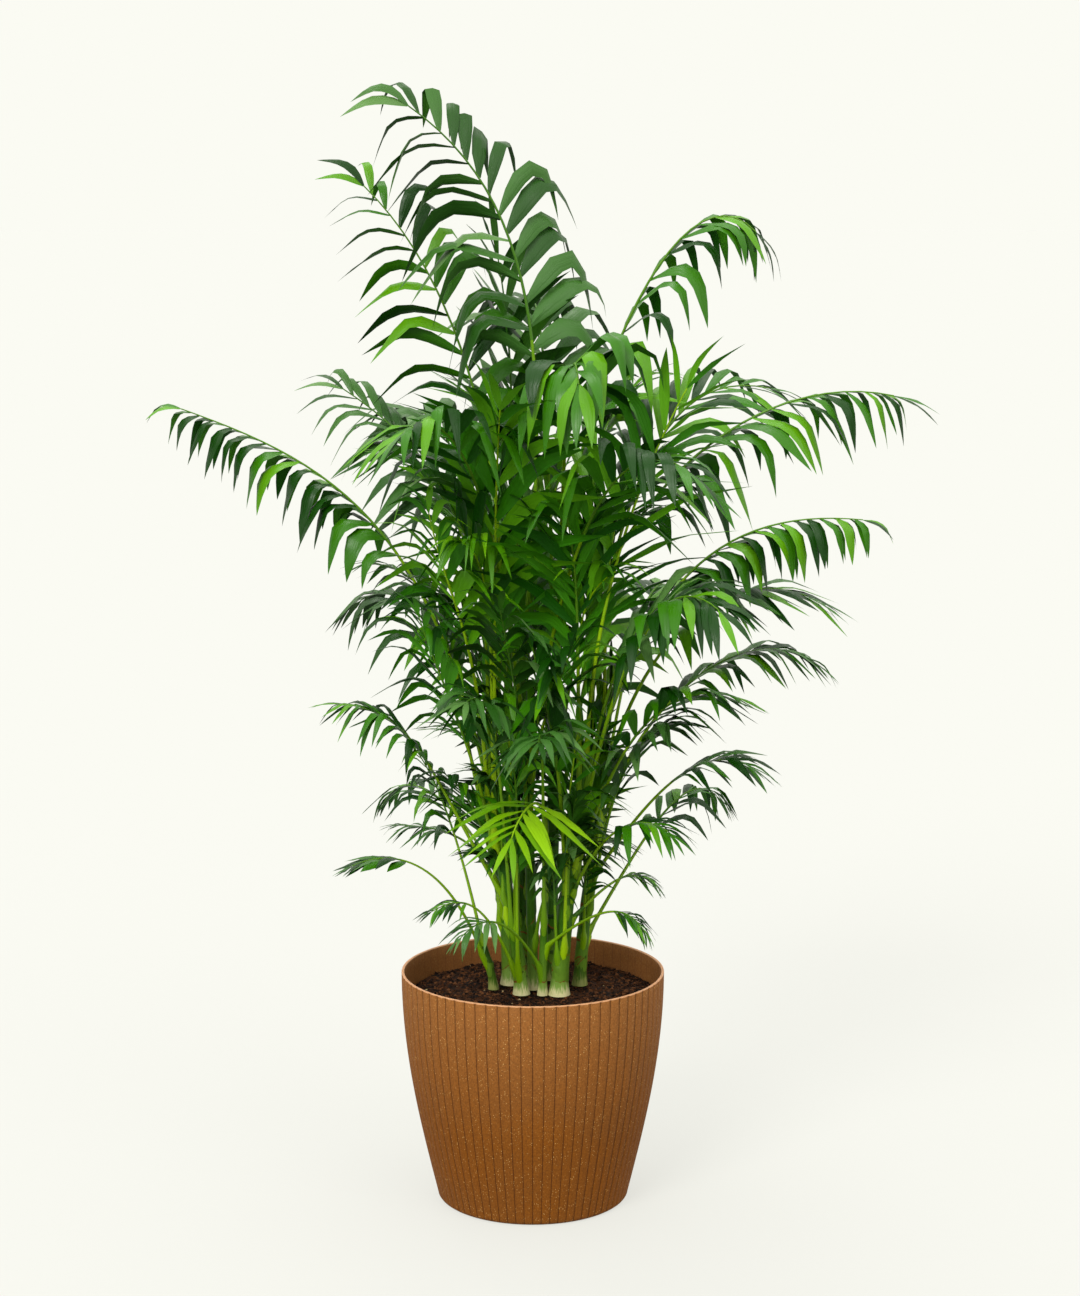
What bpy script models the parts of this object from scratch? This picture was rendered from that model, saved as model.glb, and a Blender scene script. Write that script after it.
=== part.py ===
"""A potted parlour palm, about 1.26 m tall, in a round pleated pot 0.30 m across.

The origin is the centre of the pot's flat underside. +Z is up, +X is the viewer's right and -Y
faces the viewer. Lengths are in metres and angles in degrees.
"""

import math
from typing import NamedTuple

import bmesh
import bpy
from mathutils import Matrix, Vector
from mathutils.bvhtree import BVHTree

# The gap that neighbouring pieces keep, and the distance within which points are one
GAP = 0.0003
WELD = 0.00001

# Pot: a thin wall whose outer radius grows from foot to rim along a quarter sine
POT_HEIGHT = 0.266
RIM_RADIUS = 0.150
FOOT_RADIUS = 0.1085
FOOT_ROUND = 0.006
WALL = 0.0035
FLOOR = 0.004
PLEATS = 72
OUTER_BANDS = 6
INNER_BANDS = 3

# Soil: fills the pot to a little under its rim, level where the canes stand
SOIL_TOP = 0.240
SOIL_EDGE_DROP = 0.003
SOIL_LEVEL_RADIUS = 0.100
SOIL_SIDES = 36
SOIL_BANDS = 4

# Canes: round stems with a swollen foot, cut flat where they stand on the soil
CANE_STEPS = 6
CANE_FLARE = 1.35
CANE_FLARE_HEIGHT = 0.030
CANE_FLARE_RINGS = (0.0, 0.35, 1.0)
CANE_BOW = 1.4

# Fronds: one blade each, a rib with leaflets in pairs, fewer by this share than on the plant
BLADE = 0.0022
RIB_FOOT_WIDTH = 0.0060
RIB_TIP_WIDTH = 0.0026
TIP_HANDLE = 0.30
BARE_STEPS = 3
PAIRS_SHARE = 0.84
LENGTH_STEPS = 16
TANGENT_STEP = 0.002

# Leaflets: a share of the frond's full leaflet length at the first pair, growing quickly
# from there and fading towards the rib's tip; upright ones droop more, up to the most
FIRST_LENGTH = 0.78
LENGTH_GAIN = 1.4
LENGTH_FADE = 0.5
LEAFLET_FOOT = 0.008
LEAFLET_BEND = 0.45
UPRIGHT_DROOP = 1.2
MOST_DROOP = 68.0
SWEEP_FOOT = 36.0
SWEEP_TIP = 58.0
LEAFLET_CLEARANCE = 0.0008

UP = Vector((0.0, 0.0, 1.0))


class Cane(NamedTuple):
    """One stem: where its foot stands, where its tip ends, and its radii."""

    name: str
    foot: tuple
    tip: tuple
    foot_radius: float
    tip_radius: float


class Frond(NamedTuple):
    """One frond: the cane and height it leaves, its tip round the pot's axis, and how it bends.

    azimuth and reach place the tip round the pot's axis. lean is the rib's first angle from upright
    and dip its last angle below level. rise is the share of the way that it keeps its first
    direction, and bare the share that has no leaflets. roll turns the rib's faces about it, lift
    is the angle at which leaflets stand out of its upper face, droop how far they then bend,
    breadth their width as a share of their length, and sweep how much further than on other
    fronds they point along the rib.
    """

    name: str
    cane: str
    attach: float
    azimuth: float
    reach: float
    height: float
    lean: float
    dip: float
    rise: float
    bare: float = 0.42
    pairs: int = 8
    leaflet: float = 0.150
    droop: float = 35
    roll: float = 0
    tint: str = "green"
    lift: float = 4
    breadth: float = 0.125
    sweep: float = 0


CANES = (
    Cane("cane_left", (-0.026, 0.030), (-0.046, 0.040, 0.540), 0.0090, 0.0048),
    Cane("cane_pale", (-0.013, -0.012), (-0.050, -0.026, 0.460), 0.0075, 0.0042),
    Cane("cane_slim", (0.000, 0.008), (-0.012, 0.006, 0.620), 0.0058, 0.0040),
    Cane("cane_young", (0.011, -0.016), (0.014, -0.024, 0.360), 0.0048, 0.0036),
    Cane("cane_stout", (0.030, -0.014), (0.060, -0.030, 0.520), 0.0095, 0.0048),
    Cane("cane_back", (0.020, 0.050), (0.030, 0.068, 0.660), 0.0080, 0.0046),
    Cane("cane_rear", (-0.010, 0.072), (-0.024, 0.100, 0.500), 0.0075, 0.0044),
    Cane("cane_right", (0.054, 0.026), (0.078, 0.043, 0.460), 0.0070, 0.0042),
    Cane("cane_sprig", (-0.045, 0.008), (-0.058, 0.004, 0.300), 0.0048, 0.0034),
)

FRONDS = (
    # Tall fronds of the outline, from the top to either side
    Frond(
        "top_left", "cane_slim", 0.62, 188, 0.136, 1.234, -6, -34, 0.5,
        0.42, 10, 0.16, 46, -82, "deep", -10, 0.145, -14,
    ),
    Frond(
        "upper_left", "cane_left", 0.54, 168, 0.191, 1.149, -9, -44, 0.33,
        0.46, 10, 0.125, 34, -80, "green", -8, 0.14, -12,
    ),
    Frond("top_middle", "cane_rear", 0.5, 112, 0.105, 1.069, 2, -80, 0.5, 0.45, 6, 0.16, 8, 24, "deep"),
    Frond(
        "top_right", "cane_back", 0.66, 12, 0.255, 1.098, -4, 46, 0.32,
        0.26, 10, 0.13, 56, 24, "green", -10, 0.15,
    ),
    Frond(
        "top_front", "cane_back", 0.6, -76, 0.2, 0.944, 10, 40, 0.55,
        0.4, 7, 0.165, 60, 34, "green", 10, 0.16,
    ),
    Frond(
        "long_left", "cane_left", 0.44, 177, 0.392, 0.904, 11, -20, 0.6,
        0.4, 11, 0.1, 72, -18, "green", -16, 0.2,
    ),
    Frond(
        "shoulder_left", "cane_rear", 0.44, 149, 0.255, 0.919, 6, -32, 0.6,
        0.46, 9, 0.13, 34, -40, "deep",
    ),
    Frond(
        "long_right", "cane_back", 0.52, 4, 0.404, 0.918, 5, 12, 0.5,
        0.36, 12, 0.125, 50, 18, "green", -14, 0.15,
    ),
    Frond(
        "second_right", "cane_stout", 0.46, -14, 0.368, 0.792, 12, 4, 0.65,
        0.42, 11, 0.09, 80, 12, lift=-20, breadth=0.2,
    ),
    Frond(
        "bright", "cane_stout", 0.52, -20, 0.178, 0.932, 2, -61, 0.36,
        0.32, 7, 0.155, 14, -70, "bright", 4, 0.09,
    ),
    # The left side, downwards
    Frond("left_inner", "cane_pale", 0.46, 222, 0.15, 0.801, 4, -74, 0.6, 0.4, 8, 0.12, 24, 0, "bright"),
    Frond("left_middle", "cane_left", 0.38, 150, 0.2, 0.719, 20, -10, 0.5, 0.4, 9, 0.11, 30),
    Frond("left_front", "cane_pale", 0.41, 219, 0.158, 0.687, 12, -68, 0.4, 0.4, 8, 0.115, 30),
    Frond("lower_left", "cane_pale", 0.36, 191, 0.212, 0.581, 30, -10, 0.6, 0.45, 9, 0.088, 34),
    Frond("sprig_left", "cane_sprig", 0.3, 156, 0.147, 0.509, 17, -46, 0.3, 0.5, 6, 0.065, 45),
    Frond(
        "low_left", "cane_sprig", 0.282, 194, 0.208, 0.399, 20, 20, 0.6,
        0.6, 5, 0.05, 16, breadth=0.28,
    ),
    Frond(
        "low_left_back", "cane_left", 0.34, 162, 0.161, 0.423, 10, 0, 0.55,
        0.5, 6, 0.055, 30, 0, "deep",
    ),
    Frond("rim_left", "cane_pale", 0.275, 212, 0.132, 0.352, 24, 20, 0.75, 0.55, 5, 0.048, 30),
    # The right side, downwards
    Frond("right_middle", "cane_right", 0.46, -2, 0.305, 0.698, 12, 20, 0.55, 0.4, 9, 0.13, 26),
    Frond("right_low_long", "cane_right", 0.42, 11, 0.322, 0.615, 14, 30, 0.5, 0.42, 10, 0.1, 34),
    Frond("right_low", "cane_right", 0.37, -5, 0.239, 0.509, 34, 20, 0.42, 0.5, 7, 0.1, 24, breadth=0.12),
    Frond("rim_right", "cane_stout", 0.33, -8, 0.139, 0.37, 42, 40, 0.75, 0.45, 9, 0.042, 30),
    Frond("rim_right_front", "cane_young", 0.3, -32, 0.148, 0.33, 50, 50, 0.75, 0.5, 7, 0.045, 40),
    # The front
    Frond(
        "lime", "cane_young", 0.36, -97, 0.181, 0.461, -24, 30, 0.8,
        0.5, 5, 0.13, 16, -10, "lime", 4, 0.1,
    ),
    Frond("front_high_left", "cane_slim", 0.56, 236, 0.24, 0.894, 12, 20, 0.55, 0.4, 9, 0.15, 36, 26),
    Frond("front_high_right", "cane_slim", 0.5, -54, 0.27, 0.858, 12, 20, 0.55, 0.42, 9, 0.15, 36, -24),
    Frond("front_right", "cane_stout", 0.41, -50, 0.3, 0.714, 16, 24, 0.55, 0.42, 9, 0.13, 36, 22),
    Frond("front_left", "cane_pale", 0.32, 249, 0.192, 0.609, 12, 4, 0.55, 0.45, 7, 0.1, 30, -20, "deep"),
    Frond("front_middle", "cane_young", 0.33, 272, 0.2, 0.569, 6, 10, 0.6, 0.5, 7, 0.1, 30, 14, "deep"),
    Frond("front_low_right", "cane_stout", 0.36, -39, 0.19, 0.454, 24, 24, 0.5, 0.5, 6, 0.08, 30),
    Frond(
        "front_low", "cane_young", 0.275, 237, 0.143, 0.336, 36, 30, 0.6,
        0.55, 5, 0.055, 36, 0, "deep",
    ),
    # The dense middle
    Frond("core_right", "cane_stout", 0.49, -24, 0.2, 0.72, 10, -16, 0.5, 0.4, 8, 0.125, 28, 20, "deep"),
    Frond("core_right_low", "cane_stout", 0.385, -28, 0.235, 0.604, 16, 4, 0.5, 0.42, 8, 0.115, 28, -16),
    Frond("core_middle", "cane_slim", 0.44, -70, 0.13, 0.666, 6, -58, 0.5, 0.42, 7, 0.125, 28, 24),
    Frond("core_left", "cane_slim", 0.4, 254, 0.125, 0.698, 6, -56, 0.5, 0.42, 8, 0.125, 28, -20, "deep"),
    Frond(
        "core_low_right", "cane_right", 0.33, -22, 0.16, 0.564, 12, -30, 0.5,
        0.42, 8, 0.11, 28, 12, "deep",
    ),
    Frond("core_low_left", "cane_left", 0.33, 212, 0.113, 0.505, 16, -34, 0.5, 0.42, 7, 0.085, 28),
    Frond("core_low", "cane_slim", 0.3, -50, 0.085, 0.434, 10, -50, 0.5, 0.42, 6, 0.08, 28, 0, "deep"),
    Frond(
        "core_back_low", "cane_back", 0.32, 48, 0.135, 0.394, 14, 10, 0.5,
        0.42, 6, 0.08, 34, 0, "deep",
    ),
    Frond("core_back", "cane_back", 0.5, 97, 0.121, 0.722, 6, -60, 0.5, 0.42, 8, 0.13, 28, 0, "deep"),
    # The back
    Frond("back_high", "cane_back", 0.56, 92, 0.26, 1.014, 8, 20, 0.55, 0.42, 8, 0.155, 40, 0, "deep"),
    Frond("back_high_right", "cane_back", 0.44, 28, 0.31, 0.919, 12, 12, 0.6, 0.45, 9, 0.14, 30, 20),
    Frond(
        "back_high_left", "cane_rear", 0.4, 122, 0.31, 0.874, 14, 26, 0.6,
        0.45, 8, 0.15, 40, 0, "deep",
    ),
    Frond("back_middle", "cane_back", 0.46, 98, 0.4, 0.754, 18, 34, 0.55, 0.42, 10, 0.14, 45),
    Frond("back_right", "cane_right", 0.34, 62, 0.37, 0.654, 22, 34, 0.55, 0.42, 8, 0.13, 40),
    Frond("back_left", "cane_rear", 0.35, 132, 0.31, 0.659, 18, 30, 0.55, 0.42, 8, 0.13, 40, 0, "deep"),
    Frond("back_low", "cane_back", 0.38, 84, 0.29, 0.474, 32, 40, 0.5, 0.42, 8, 0.11, 40),
    Frond("back_low_right", "cane_right", 0.3, 36, 0.27, 0.434, 40, 40, 0.5, 0.42, 7, 0.09, 40),
    Frond("back_low_left", "cane_rear", 0.31, 128, 0.28, 0.424, 36, 40, 0.5, 0.42, 7, 0.09, 40),
)


def clear_scene():
    """Removes every object that the scene starts with."""
    for item in list(bpy.data.objects):
        bpy.data.objects.remove(item, do_unlink=True)


def new_material(name, color, roughness):
    """A plain Principled material."""
    material = bpy.data.materials.new(name)
    material.use_nodes = True
    shader = material.node_tree.nodes["Principled BSDF"]
    shader.inputs["Base Color"].default_value = (*color, 1.0)
    shader.inputs["Roughness"].default_value = roughness
    shader.inputs["Metallic"].default_value = 0.0
    return material


def pot_material(name):
    """Matt caramel-brown plastic with a wood filler."""
    return new_material(name, (0.29, 0.13, 0.04), 0.75)


def soil_material(name):
    """Dark, coarse potting soil."""
    return new_material(name, (0.025, 0.013, 0.008), 0.95)


def cane_material(name):
    """Pale green sheathed stem."""
    return new_material(name, (0.22, 0.36, 0.07), 0.45)


def leaf_material(name, tint):
    """One of the greens that the fronds are dealt."""
    greens = {
        "deep": (0.016, 0.085, 0.030),
        "green": (0.025, 0.130, 0.020),
        "bright": (0.070, 0.230, 0.020),
        "lime": (0.200, 0.400, 0.020),
    }
    return new_material(name, greens[tint], 0.4)


def new_object(name, mesh, material, collection, parent):
    """An object of this mesh, in its collection and under its parent."""
    item = bpy.data.objects.new(name, mesh)
    item.data.materials.append(material)
    item.parent = parent
    collection.objects.link(item)
    return item


def new_profile(name, points):
    """A mesh of one open chain of edges through (radius, height) points."""
    mesh = bpy.data.meshes.new(name)
    chain = bmesh.new()
    corners = [chain.verts.new((radius, 0.0, height)) for radius, height in points]
    for start, end in zip(corners, corners[1:]):
        chain.edges.new((start, end))
    chain.to_mesh(mesh)
    chain.free()
    return mesh


def turn_profile(item, sides):
    """Turns the object's profile once round Z."""
    screw = item.modifiers.new("turned", "SCREW")
    screw.steps = sides
    screw.render_steps = sides
    screw.use_merge_vertices = True
    screw.merge_threshold = WELD
    screw.use_smooth_shade = False


def pot_radius(height):
    """The pot's outer radius at this height."""
    share = math.sin(math.pi / 2.0 * height / POT_HEIGHT)
    return FOOT_RADIUS + (RIM_RADIUS - FOOT_RADIUS) * share


def pot_profile():
    """The pot's section, from the inside of its floor over the rim to its underside."""
    inner = [(0.0, FLOOR)]
    for band in range(INNER_BANDS + 1):
        height = FLOOR + (POT_HEIGHT - WALL / 2.0 - FLOOR) * band / INNER_BANDS
        inner.append((pot_radius(height) - WALL, height))
    lip = [(RIM_RADIUS - WALL / 2.0, POT_HEIGHT)]
    outer = []
    for band in range(OUTER_BANDS, -1, -1):
        height = FOOT_ROUND + (POT_HEIGHT - WALL / 2.0 - FOOT_ROUND) * band / OUTER_BANDS
        outer.append((pot_radius(height), height))
    corner = math.radians(45.0)
    foot_centre = pot_radius(FOOT_ROUND) - FOOT_ROUND
    rounding = (
        foot_centre + FOOT_ROUND * math.cos(corner),
        FOOT_ROUND - FOOT_ROUND * math.sin(corner),
    )
    return [*inner, *lip, *outer, rounding, (foot_centre, 0.0), (0.0, 0.0)]


def make_pot(collection, parent):
    """The open pot, its wall in flat upright strips."""
    pot = new_object("pot", new_profile("pot", pot_profile()), pot_material("pot"), collection, parent)
    turn_profile(pot, PLEATS)
    return pot


def soil_radius(height):
    """The radius that leaves the gap to the pot's flat inner strips at this height."""
    band_height = (POT_HEIGHT - WALL / 2.0 - FLOOR) / INNER_BANDS
    band = min(INNER_BANDS - 1, int((height - FLOOR) / band_height))
    low = FLOOR + band * band_height
    share = (height - low) / band_height
    chord = (1.0 - share) * pot_radius(low) + share * pot_radius(low + band_height)
    return (chord - WALL) * math.cos(math.pi / PLEATS) - GAP


def soil_profile():
    """The soil's section, from its middle over its edge to the pot's floor."""
    bottom = FLOOR + GAP
    edge = SOIL_TOP - SOIL_EDGE_DROP
    side = []
    for band in range(SOIL_BANDS, -1, -1):
        height = bottom + (edge - bottom) * band / SOIL_BANDS
        side.append((soil_radius(height), height))
    return [(0.0, SOIL_TOP), (SOIL_LEVEL_RADIUS, SOIL_TOP), *side, (0.0, bottom)]


def make_soil(collection, parent):
    """The filling of soil that the canes stand on."""
    mesh = new_profile("soil", soil_profile())
    soil = new_object("soil", mesh, soil_material("soil"), collection, parent)
    turn_profile(soil, SOIL_SIDES)
    return soil


def cane_point(cane, height):
    """The middle of a cane at this height: upright at its foot, bowing out towards its tip."""
    foot_height = SOIL_TOP + GAP
    share = max(0.0, (height - foot_height) / (cane.tip[2] - foot_height))
    bow = share**CANE_BOW
    return Vector(
        (
            cane.foot[0] + (cane.tip[0] - cane.foot[0]) * bow,
            cane.foot[1] + (cane.tip[1] - cane.foot[1]) * bow,
            height,
        )
    )


def cane_radius(cane, height):
    """The radius of a cane at this height, with the flare of its foot."""
    foot_height = SOIL_TOP + GAP
    share = (height - foot_height) / (cane.tip[2] - foot_height)
    radius = cane.foot_radius + (cane.tip_radius - cane.foot_radius) * share
    flare = max(0.0, 1.0 - (height - foot_height) / CANE_FLARE_HEIGHT)
    return radius * (1.0 + (CANE_FLARE - 1.0) * flare**2)


def cane_heights(cane):
    """The heights of a cane's rings, closer together in the flare."""
    foot_height = SOIL_TOP + GAP
    flare = [foot_height + CANE_FLARE_HEIGHT * share for share in CANE_FLARE_RINGS]
    rest = cane.tip[2] - flare[-1]
    return flare + [flare[-1] + rest * step / CANE_STEPS for step in range(1, CANE_STEPS + 1)]


def make_cane(cane, collection, parent):
    """A tapering tube along the cane, its first stretch upright so that its foot is cut level."""
    curve = bpy.data.curves.new(cane.name, "CURVE")
    curve.dimensions = "3D"
    curve.bevel_depth = 1.0
    curve.bevel_resolution = 2
    curve.use_fill_caps = True
    spline = curve.splines.new("POLY")
    heights = cane_heights(cane)
    spline.points.add(len(heights) - 1)
    foot = cane_point(cane, heights[0])
    for index, height in enumerate(heights):
        place = cane_point(cane, height) - foot
        if index == 1:
            place.x = 0.0
            place.y = 0.0
        spline.points[index].co = (*place, 1.0)
        spline.points[index].radius = cane_radius(cane, height)
    guide = bpy.data.objects.new(cane.name, curve)
    collection.objects.link(guide)
    bpy.context.view_layer.update()
    mesh = bpy.data.meshes.new_from_object(guide.evaluated_get(bpy.context.evaluated_depsgraph_get()))
    bpy.data.objects.remove(guide, do_unlink=True)
    weld = bmesh.new()
    weld.from_mesh(mesh)
    bmesh.ops.remove_doubles(weld, verts=weld.verts, dist=WELD)
    weld.to_mesh(mesh)
    weld.free()
    mesh.materials.clear()
    item = new_object(cane.name, mesh, cane_material(cane.name), collection, parent)
    item.location = foot
    item.data.shade_smooth()
    return item


def world_tree(item):
    """The search tree of an object's evaluated surface, in world space."""
    bpy.context.view_layer.update()
    evaluated = item.evaluated_get(bpy.context.evaluated_depsgraph_get())
    mesh = evaluated.to_mesh()
    corners = [evaluated.matrix_world @ vertex.co for vertex in mesh.vertices]
    faces = [tuple(polygon.vertices) for polygon in mesh.polygons]
    evaluated.to_mesh_clear()
    return BVHTree.FromPolygons(corners, faces)


def frond_tip(frond):
    """Where the frond's rib ends."""
    angle = math.radians(frond.azimuth)
    return Vector((frond.reach * math.cos(angle), frond.reach * math.sin(angle), frond.height))


def frond_foot(frond, cane, tree):
    """Where the rib starts, on top of its cane or on the side that faces its tip, and its heading."""
    centre = cane_point(cane, frond.attach)
    heading = frond_tip(frond) - centre
    heading.z = 0.0
    heading.normalize()
    if frond.attach >= cane.tip[2]:
        axis = (centre - cane_point(cane, frond.attach - CANE_FLARE_HEIGHT)).normalized()
        lean = math.radians(frond.lean)
        turn = axis.angle(heading * math.sin(lean) + UP * math.cos(lean))
        return centre + axis * (GAP + RIB_FOOT_WIDTH / 2.0 * math.sin(turn)), heading
    reach = 4.0 * cane.foot_radius
    hit = tree.ray_cast(centre + heading * reach, -heading, reach)[0]
    return hit + heading * (GAP + BLADE / 2.0), heading


class Rib:
    """The curve of a frond's rib in its own upright plane: +X is the way that it heads."""

    def __init__(self, frond, foot, heading):
        span = frond_tip(frond) - foot
        end = Vector((span.dot(heading), 0.0, span.z))
        lean = math.radians(frond.lean)
        dip = math.radians(frond.dip)
        first = Vector((math.sin(lean), 0.0, math.cos(lean))) * frond.rise * end.length
        last = Vector((math.cos(dip), 0.0, -math.sin(dip))) * TIP_HANDLE * end.length
        self.points = (Vector(), first, end - last, end)
        self.roll = math.radians(frond.roll)
        self.bare = frond.bare
        places = [self.place(step / LENGTH_STEPS) for step in range(LENGTH_STEPS + 1)]
        self.length = sum((end - start).length for start, end in zip(places, places[1:]))

    def place(self, share):
        """The point at this share of the curve."""
        rest = 1.0 - share
        weights = (rest**3, 3 * rest**2 * share, 3 * rest * share**2, share**3)
        return sum((point * weight for point, weight in zip(self.points, weights)), Vector())

    def frame(self, share):
        """The directions along the rib, to its right and out of its upper face."""
        before = self.place(max(0.0, share - TANGENT_STEP))
        along = (self.place(min(1.0, share + TANGENT_STEP)) - before).normalized()
        turned = self.roll * min(1.0, share / self.bare)
        right = Matrix.Rotation(turned, 3, along) @ Vector((0.0, -1.0, 0.0))
        return along, right, right.cross(along)

    def width(self, share):
        """The rib's width at this share of the curve."""
        return RIB_FOOT_WIDTH + (RIB_TIP_WIDTH - RIB_FOOT_WIDTH) * share


class Leaflet:
    """One leaflet's flat shape: two corners at its foot, two at its widest place, and a tip."""

    FACES = ((0, 1, 3, 2), (2, 3, 4))
    RIM = (0, 1, 3, 4, 2)

    def __init__(self, frond, feet, start, along, share):
        leafy = (share - frond.bare) / (1.0 - frond.bare)
        growth = min(1.0, FIRST_LENGTH + LENGTH_GAIN * leafy)
        length = frond.leaflet * growth * (1.0 - LENGTH_FADE * leafy**2)
        across = (along - start * along.dot(start)).normalized() * length * frond.breadth / 2.0
        droop = math.radians(min(MOST_DROOP, frond.droop * (1.0 + UPRIGHT_DROOP * max(0.0, start.z))))
        end = (start * math.cos(droop) - UP * math.sin(droop)).normalized()
        bend = (feet[0] + feet[1]) / 2.0 + start * length * LEAFLET_BEND
        tip = bend + end * length * (1.0 - LEAFLET_BEND)
        self.corners = [*feet, bend - across, bend + across, tip]
        self.outward = across.cross(start).normalized()

    def tree(self, matrix):
        """The search tree of the leaflet as a slab, a little larger than it will be."""
        middle = sum(self.corners, Vector()) / len(self.corners)
        grown = [point + (point - middle).normalized() * LEAFLET_CLEARANCE for point in self.corners]
        offset = self.outward * (BLADE / 2.0 + LEAFLET_CLEARANCE)
        return slab_tree(grown, [offset] * len(grown), self.FACES, self.RIM, matrix)


def slab_tree(corners, offsets, faces, rim, matrix):
    """The search tree of a thin sheet made into a closed slab, in world space."""
    low = [matrix @ (corner - offset) for corner, offset in zip(corners, offsets)]
    high = [matrix @ (corner + offset) for corner, offset in zip(corners, offsets)]
    count = len(corners)
    raised = [tuple(index + count for index in face) for face in faces]
    walls = [(a, b, b + count, a + count) for a, b in zip(rim, (*rim[1:], rim[0]))]
    return BVHTree.FromPolygons(low + high, [*faces, *raised, *walls])


def side_leaflet(rib, frond, share, half, side):
    """The leaflet at this share of the rib, on its right where side is 1 and its left where -1."""
    leafy = (share - frond.bare) / (1.0 - frond.bare)
    along, right, outward = rib.frame(share)
    sweep = math.radians(frond.sweep + SWEEP_FOOT + (SWEEP_TIP - SWEEP_FOOT) * leafy)
    lift = math.radians(frond.lift)
    level = right * side * math.cos(sweep) + along * math.sin(sweep)
    start = level * math.cos(lift) + outward * math.sin(lift)
    feet = []
    for place in (share - half, share + half):
        feet.append(rib.place(place) + rib.frame(place)[1] * side * rib.width(place) / 2.0)
    return Leaflet(frond, feet, start, along, share)


def end_leaflet(rib, frond):
    """The leaflet that goes straight on from the rib's tip."""
    along, right, outward = rib.frame(1.0)
    feet = [rib.place(1.0) + right * side * rib.width(1.0) / 2.0 for side in (-1, 1)]
    return Leaflet(frond, feet, along, right, 1.0)


def pair_shares(frond):
    """The shares of the rib at which its pairs of leaflets stand."""
    count = round(frond.pairs * PAIRS_SHARE)
    spacing = (1.0 - frond.bare) / (count + 0.5)
    return [frond.bare + spacing * (index + 0.5) for index in range(count)]


def rib_strip(rib, shares):
    """A narrow grid laid along the rib, and its (left, right) corners row by row."""
    strip = bmesh.new()
    bmesh.ops.create_grid(strip, x_segments=1, y_segments=len(shares) - 1, size=1.0)
    rows = [[None, None] for _ in shares]
    for vert in strip.verts:
        row = round((vert.co.y + 1.0) / 2.0 * (len(shares) - 1))
        side = 1 if vert.co.x > 0.0 else -1
        right = rib.frame(shares[row])[1]
        vert.co = rib.place(shares[row]) + right * side * rib.width(shares[row]) / 2.0
        rows[row][max(0, side)] = vert
    return strip, rows


def extrude_leaflet(strip, foot, leaflet):
    """Draws a leaflet out of the edge between two corners of the strip."""
    for reach in (leaflet.corners[2:4], [leaflet.corners[4]] * 2):
        made = bmesh.ops.extrude_edge_only(strip, edges=[strip.edges.get(foot)])
        new = [item for item in made["geom"] if isinstance(item, bmesh.types.BMVert)]
        ordered = [next(v for v in new if strip.edges.get((v, old))) for old in foot]
        for vert, place in zip(ordered, reach):
            vert.co = place
        foot = ordered
    bmesh.ops.pointmerge(strip, verts=foot, merge_co=leaflet.corners[4])


class Plan:
    """Where a frond stands: its rib, its place in the world and the rows of its blade."""

    def __init__(self, frond, cane, cane_tree):
        foot, heading = frond_foot(frond, cane, cane_tree)
        self.frond = frond
        self.foot = foot
        self.turn = math.atan2(heading.y, heading.x)
        self.matrix = Matrix.Translation(foot) @ Matrix.Rotation(self.turn, 4, "Z")
        self.rib = Rib(frond, foot, heading)
        self.half = LEAFLET_FOOT / 2.0 / self.rib.length
        self.pairs = pair_shares(frond)
        self.shares = [frond.bare * step / BARE_STEPS for step in range(BARE_STEPS)]
        for share in self.pairs:
            self.shares += [share - self.half, share + self.half]
        self.shares.append(1.0)
        self.rib_tree = self.make_rib_tree()

    def make_rib_tree(self):
        """The search tree of the rib alone, a little larger than it will be."""
        left, right, offsets = [], [], []
        for share in self.shares:
            _, across, outward = self.rib.frame(share)
            reach = across * (self.rib.width(share) / 2.0 + LEAFLET_CLEARANCE)
            left.append(self.rib.place(share) - reach)
            right.append(self.rib.place(share) + reach)
            offsets.append(outward * (BLADE / 2.0 + LEAFLET_CLEARANCE))
        count = len(left)
        faces = [(row, row + 1, count + row + 1, count + row) for row in range(count - 1)]
        rim = [*range(count), *range(2 * count - 1, count - 1, -1)]
        return slab_tree(left + right, offsets * 2, faces, rim, self.matrix)


def make_frond(plan, taken, collection, parent):
    """The blade of one frond, leaving out each leaflet that would touch what stands already."""
    frond, rib = plan.frond, plan.rib
    strip, rows = rib_strip(rib, plan.shares)
    own = []
    for index, share in enumerate(plan.pairs):
        low, high = rows[BARE_STEPS + 2 * index], rows[BARE_STEPS + 2 * index + 1]
        for side in (-1, 1):
            leaflet = side_leaflet(rib, frond, share, plan.half, side)
            tree = leaflet.tree(plan.matrix)
            if not any(tree.overlap(other) for other in taken + own):
                extrude_leaflet(strip, [low[max(0, side)], high[max(0, side)]], leaflet)
                own.append(tree)
    leaflet = end_leaflet(rib, frond)
    if not any(leaflet.tree(plan.matrix).overlap(other) for other in taken):
        extrude_leaflet(strip, rows[-1], leaflet)
    bmesh.ops.recalc_face_normals(strip, faces=strip.faces[:])
    name = f"frond_{frond.name}"
    mesh = bpy.data.meshes.new(name)
    strip.to_mesh(mesh)
    strip.free()
    item = new_object(name, mesh, leaf_material(name, frond.tint), collection, parent)
    item.location = plan.foot
    item.rotation_euler.z = plan.turn
    blade = item.modifiers.new("thickness", "SOLIDIFY")
    blade.thickness = BLADE
    blade.offset = 0.0
    return item


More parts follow.
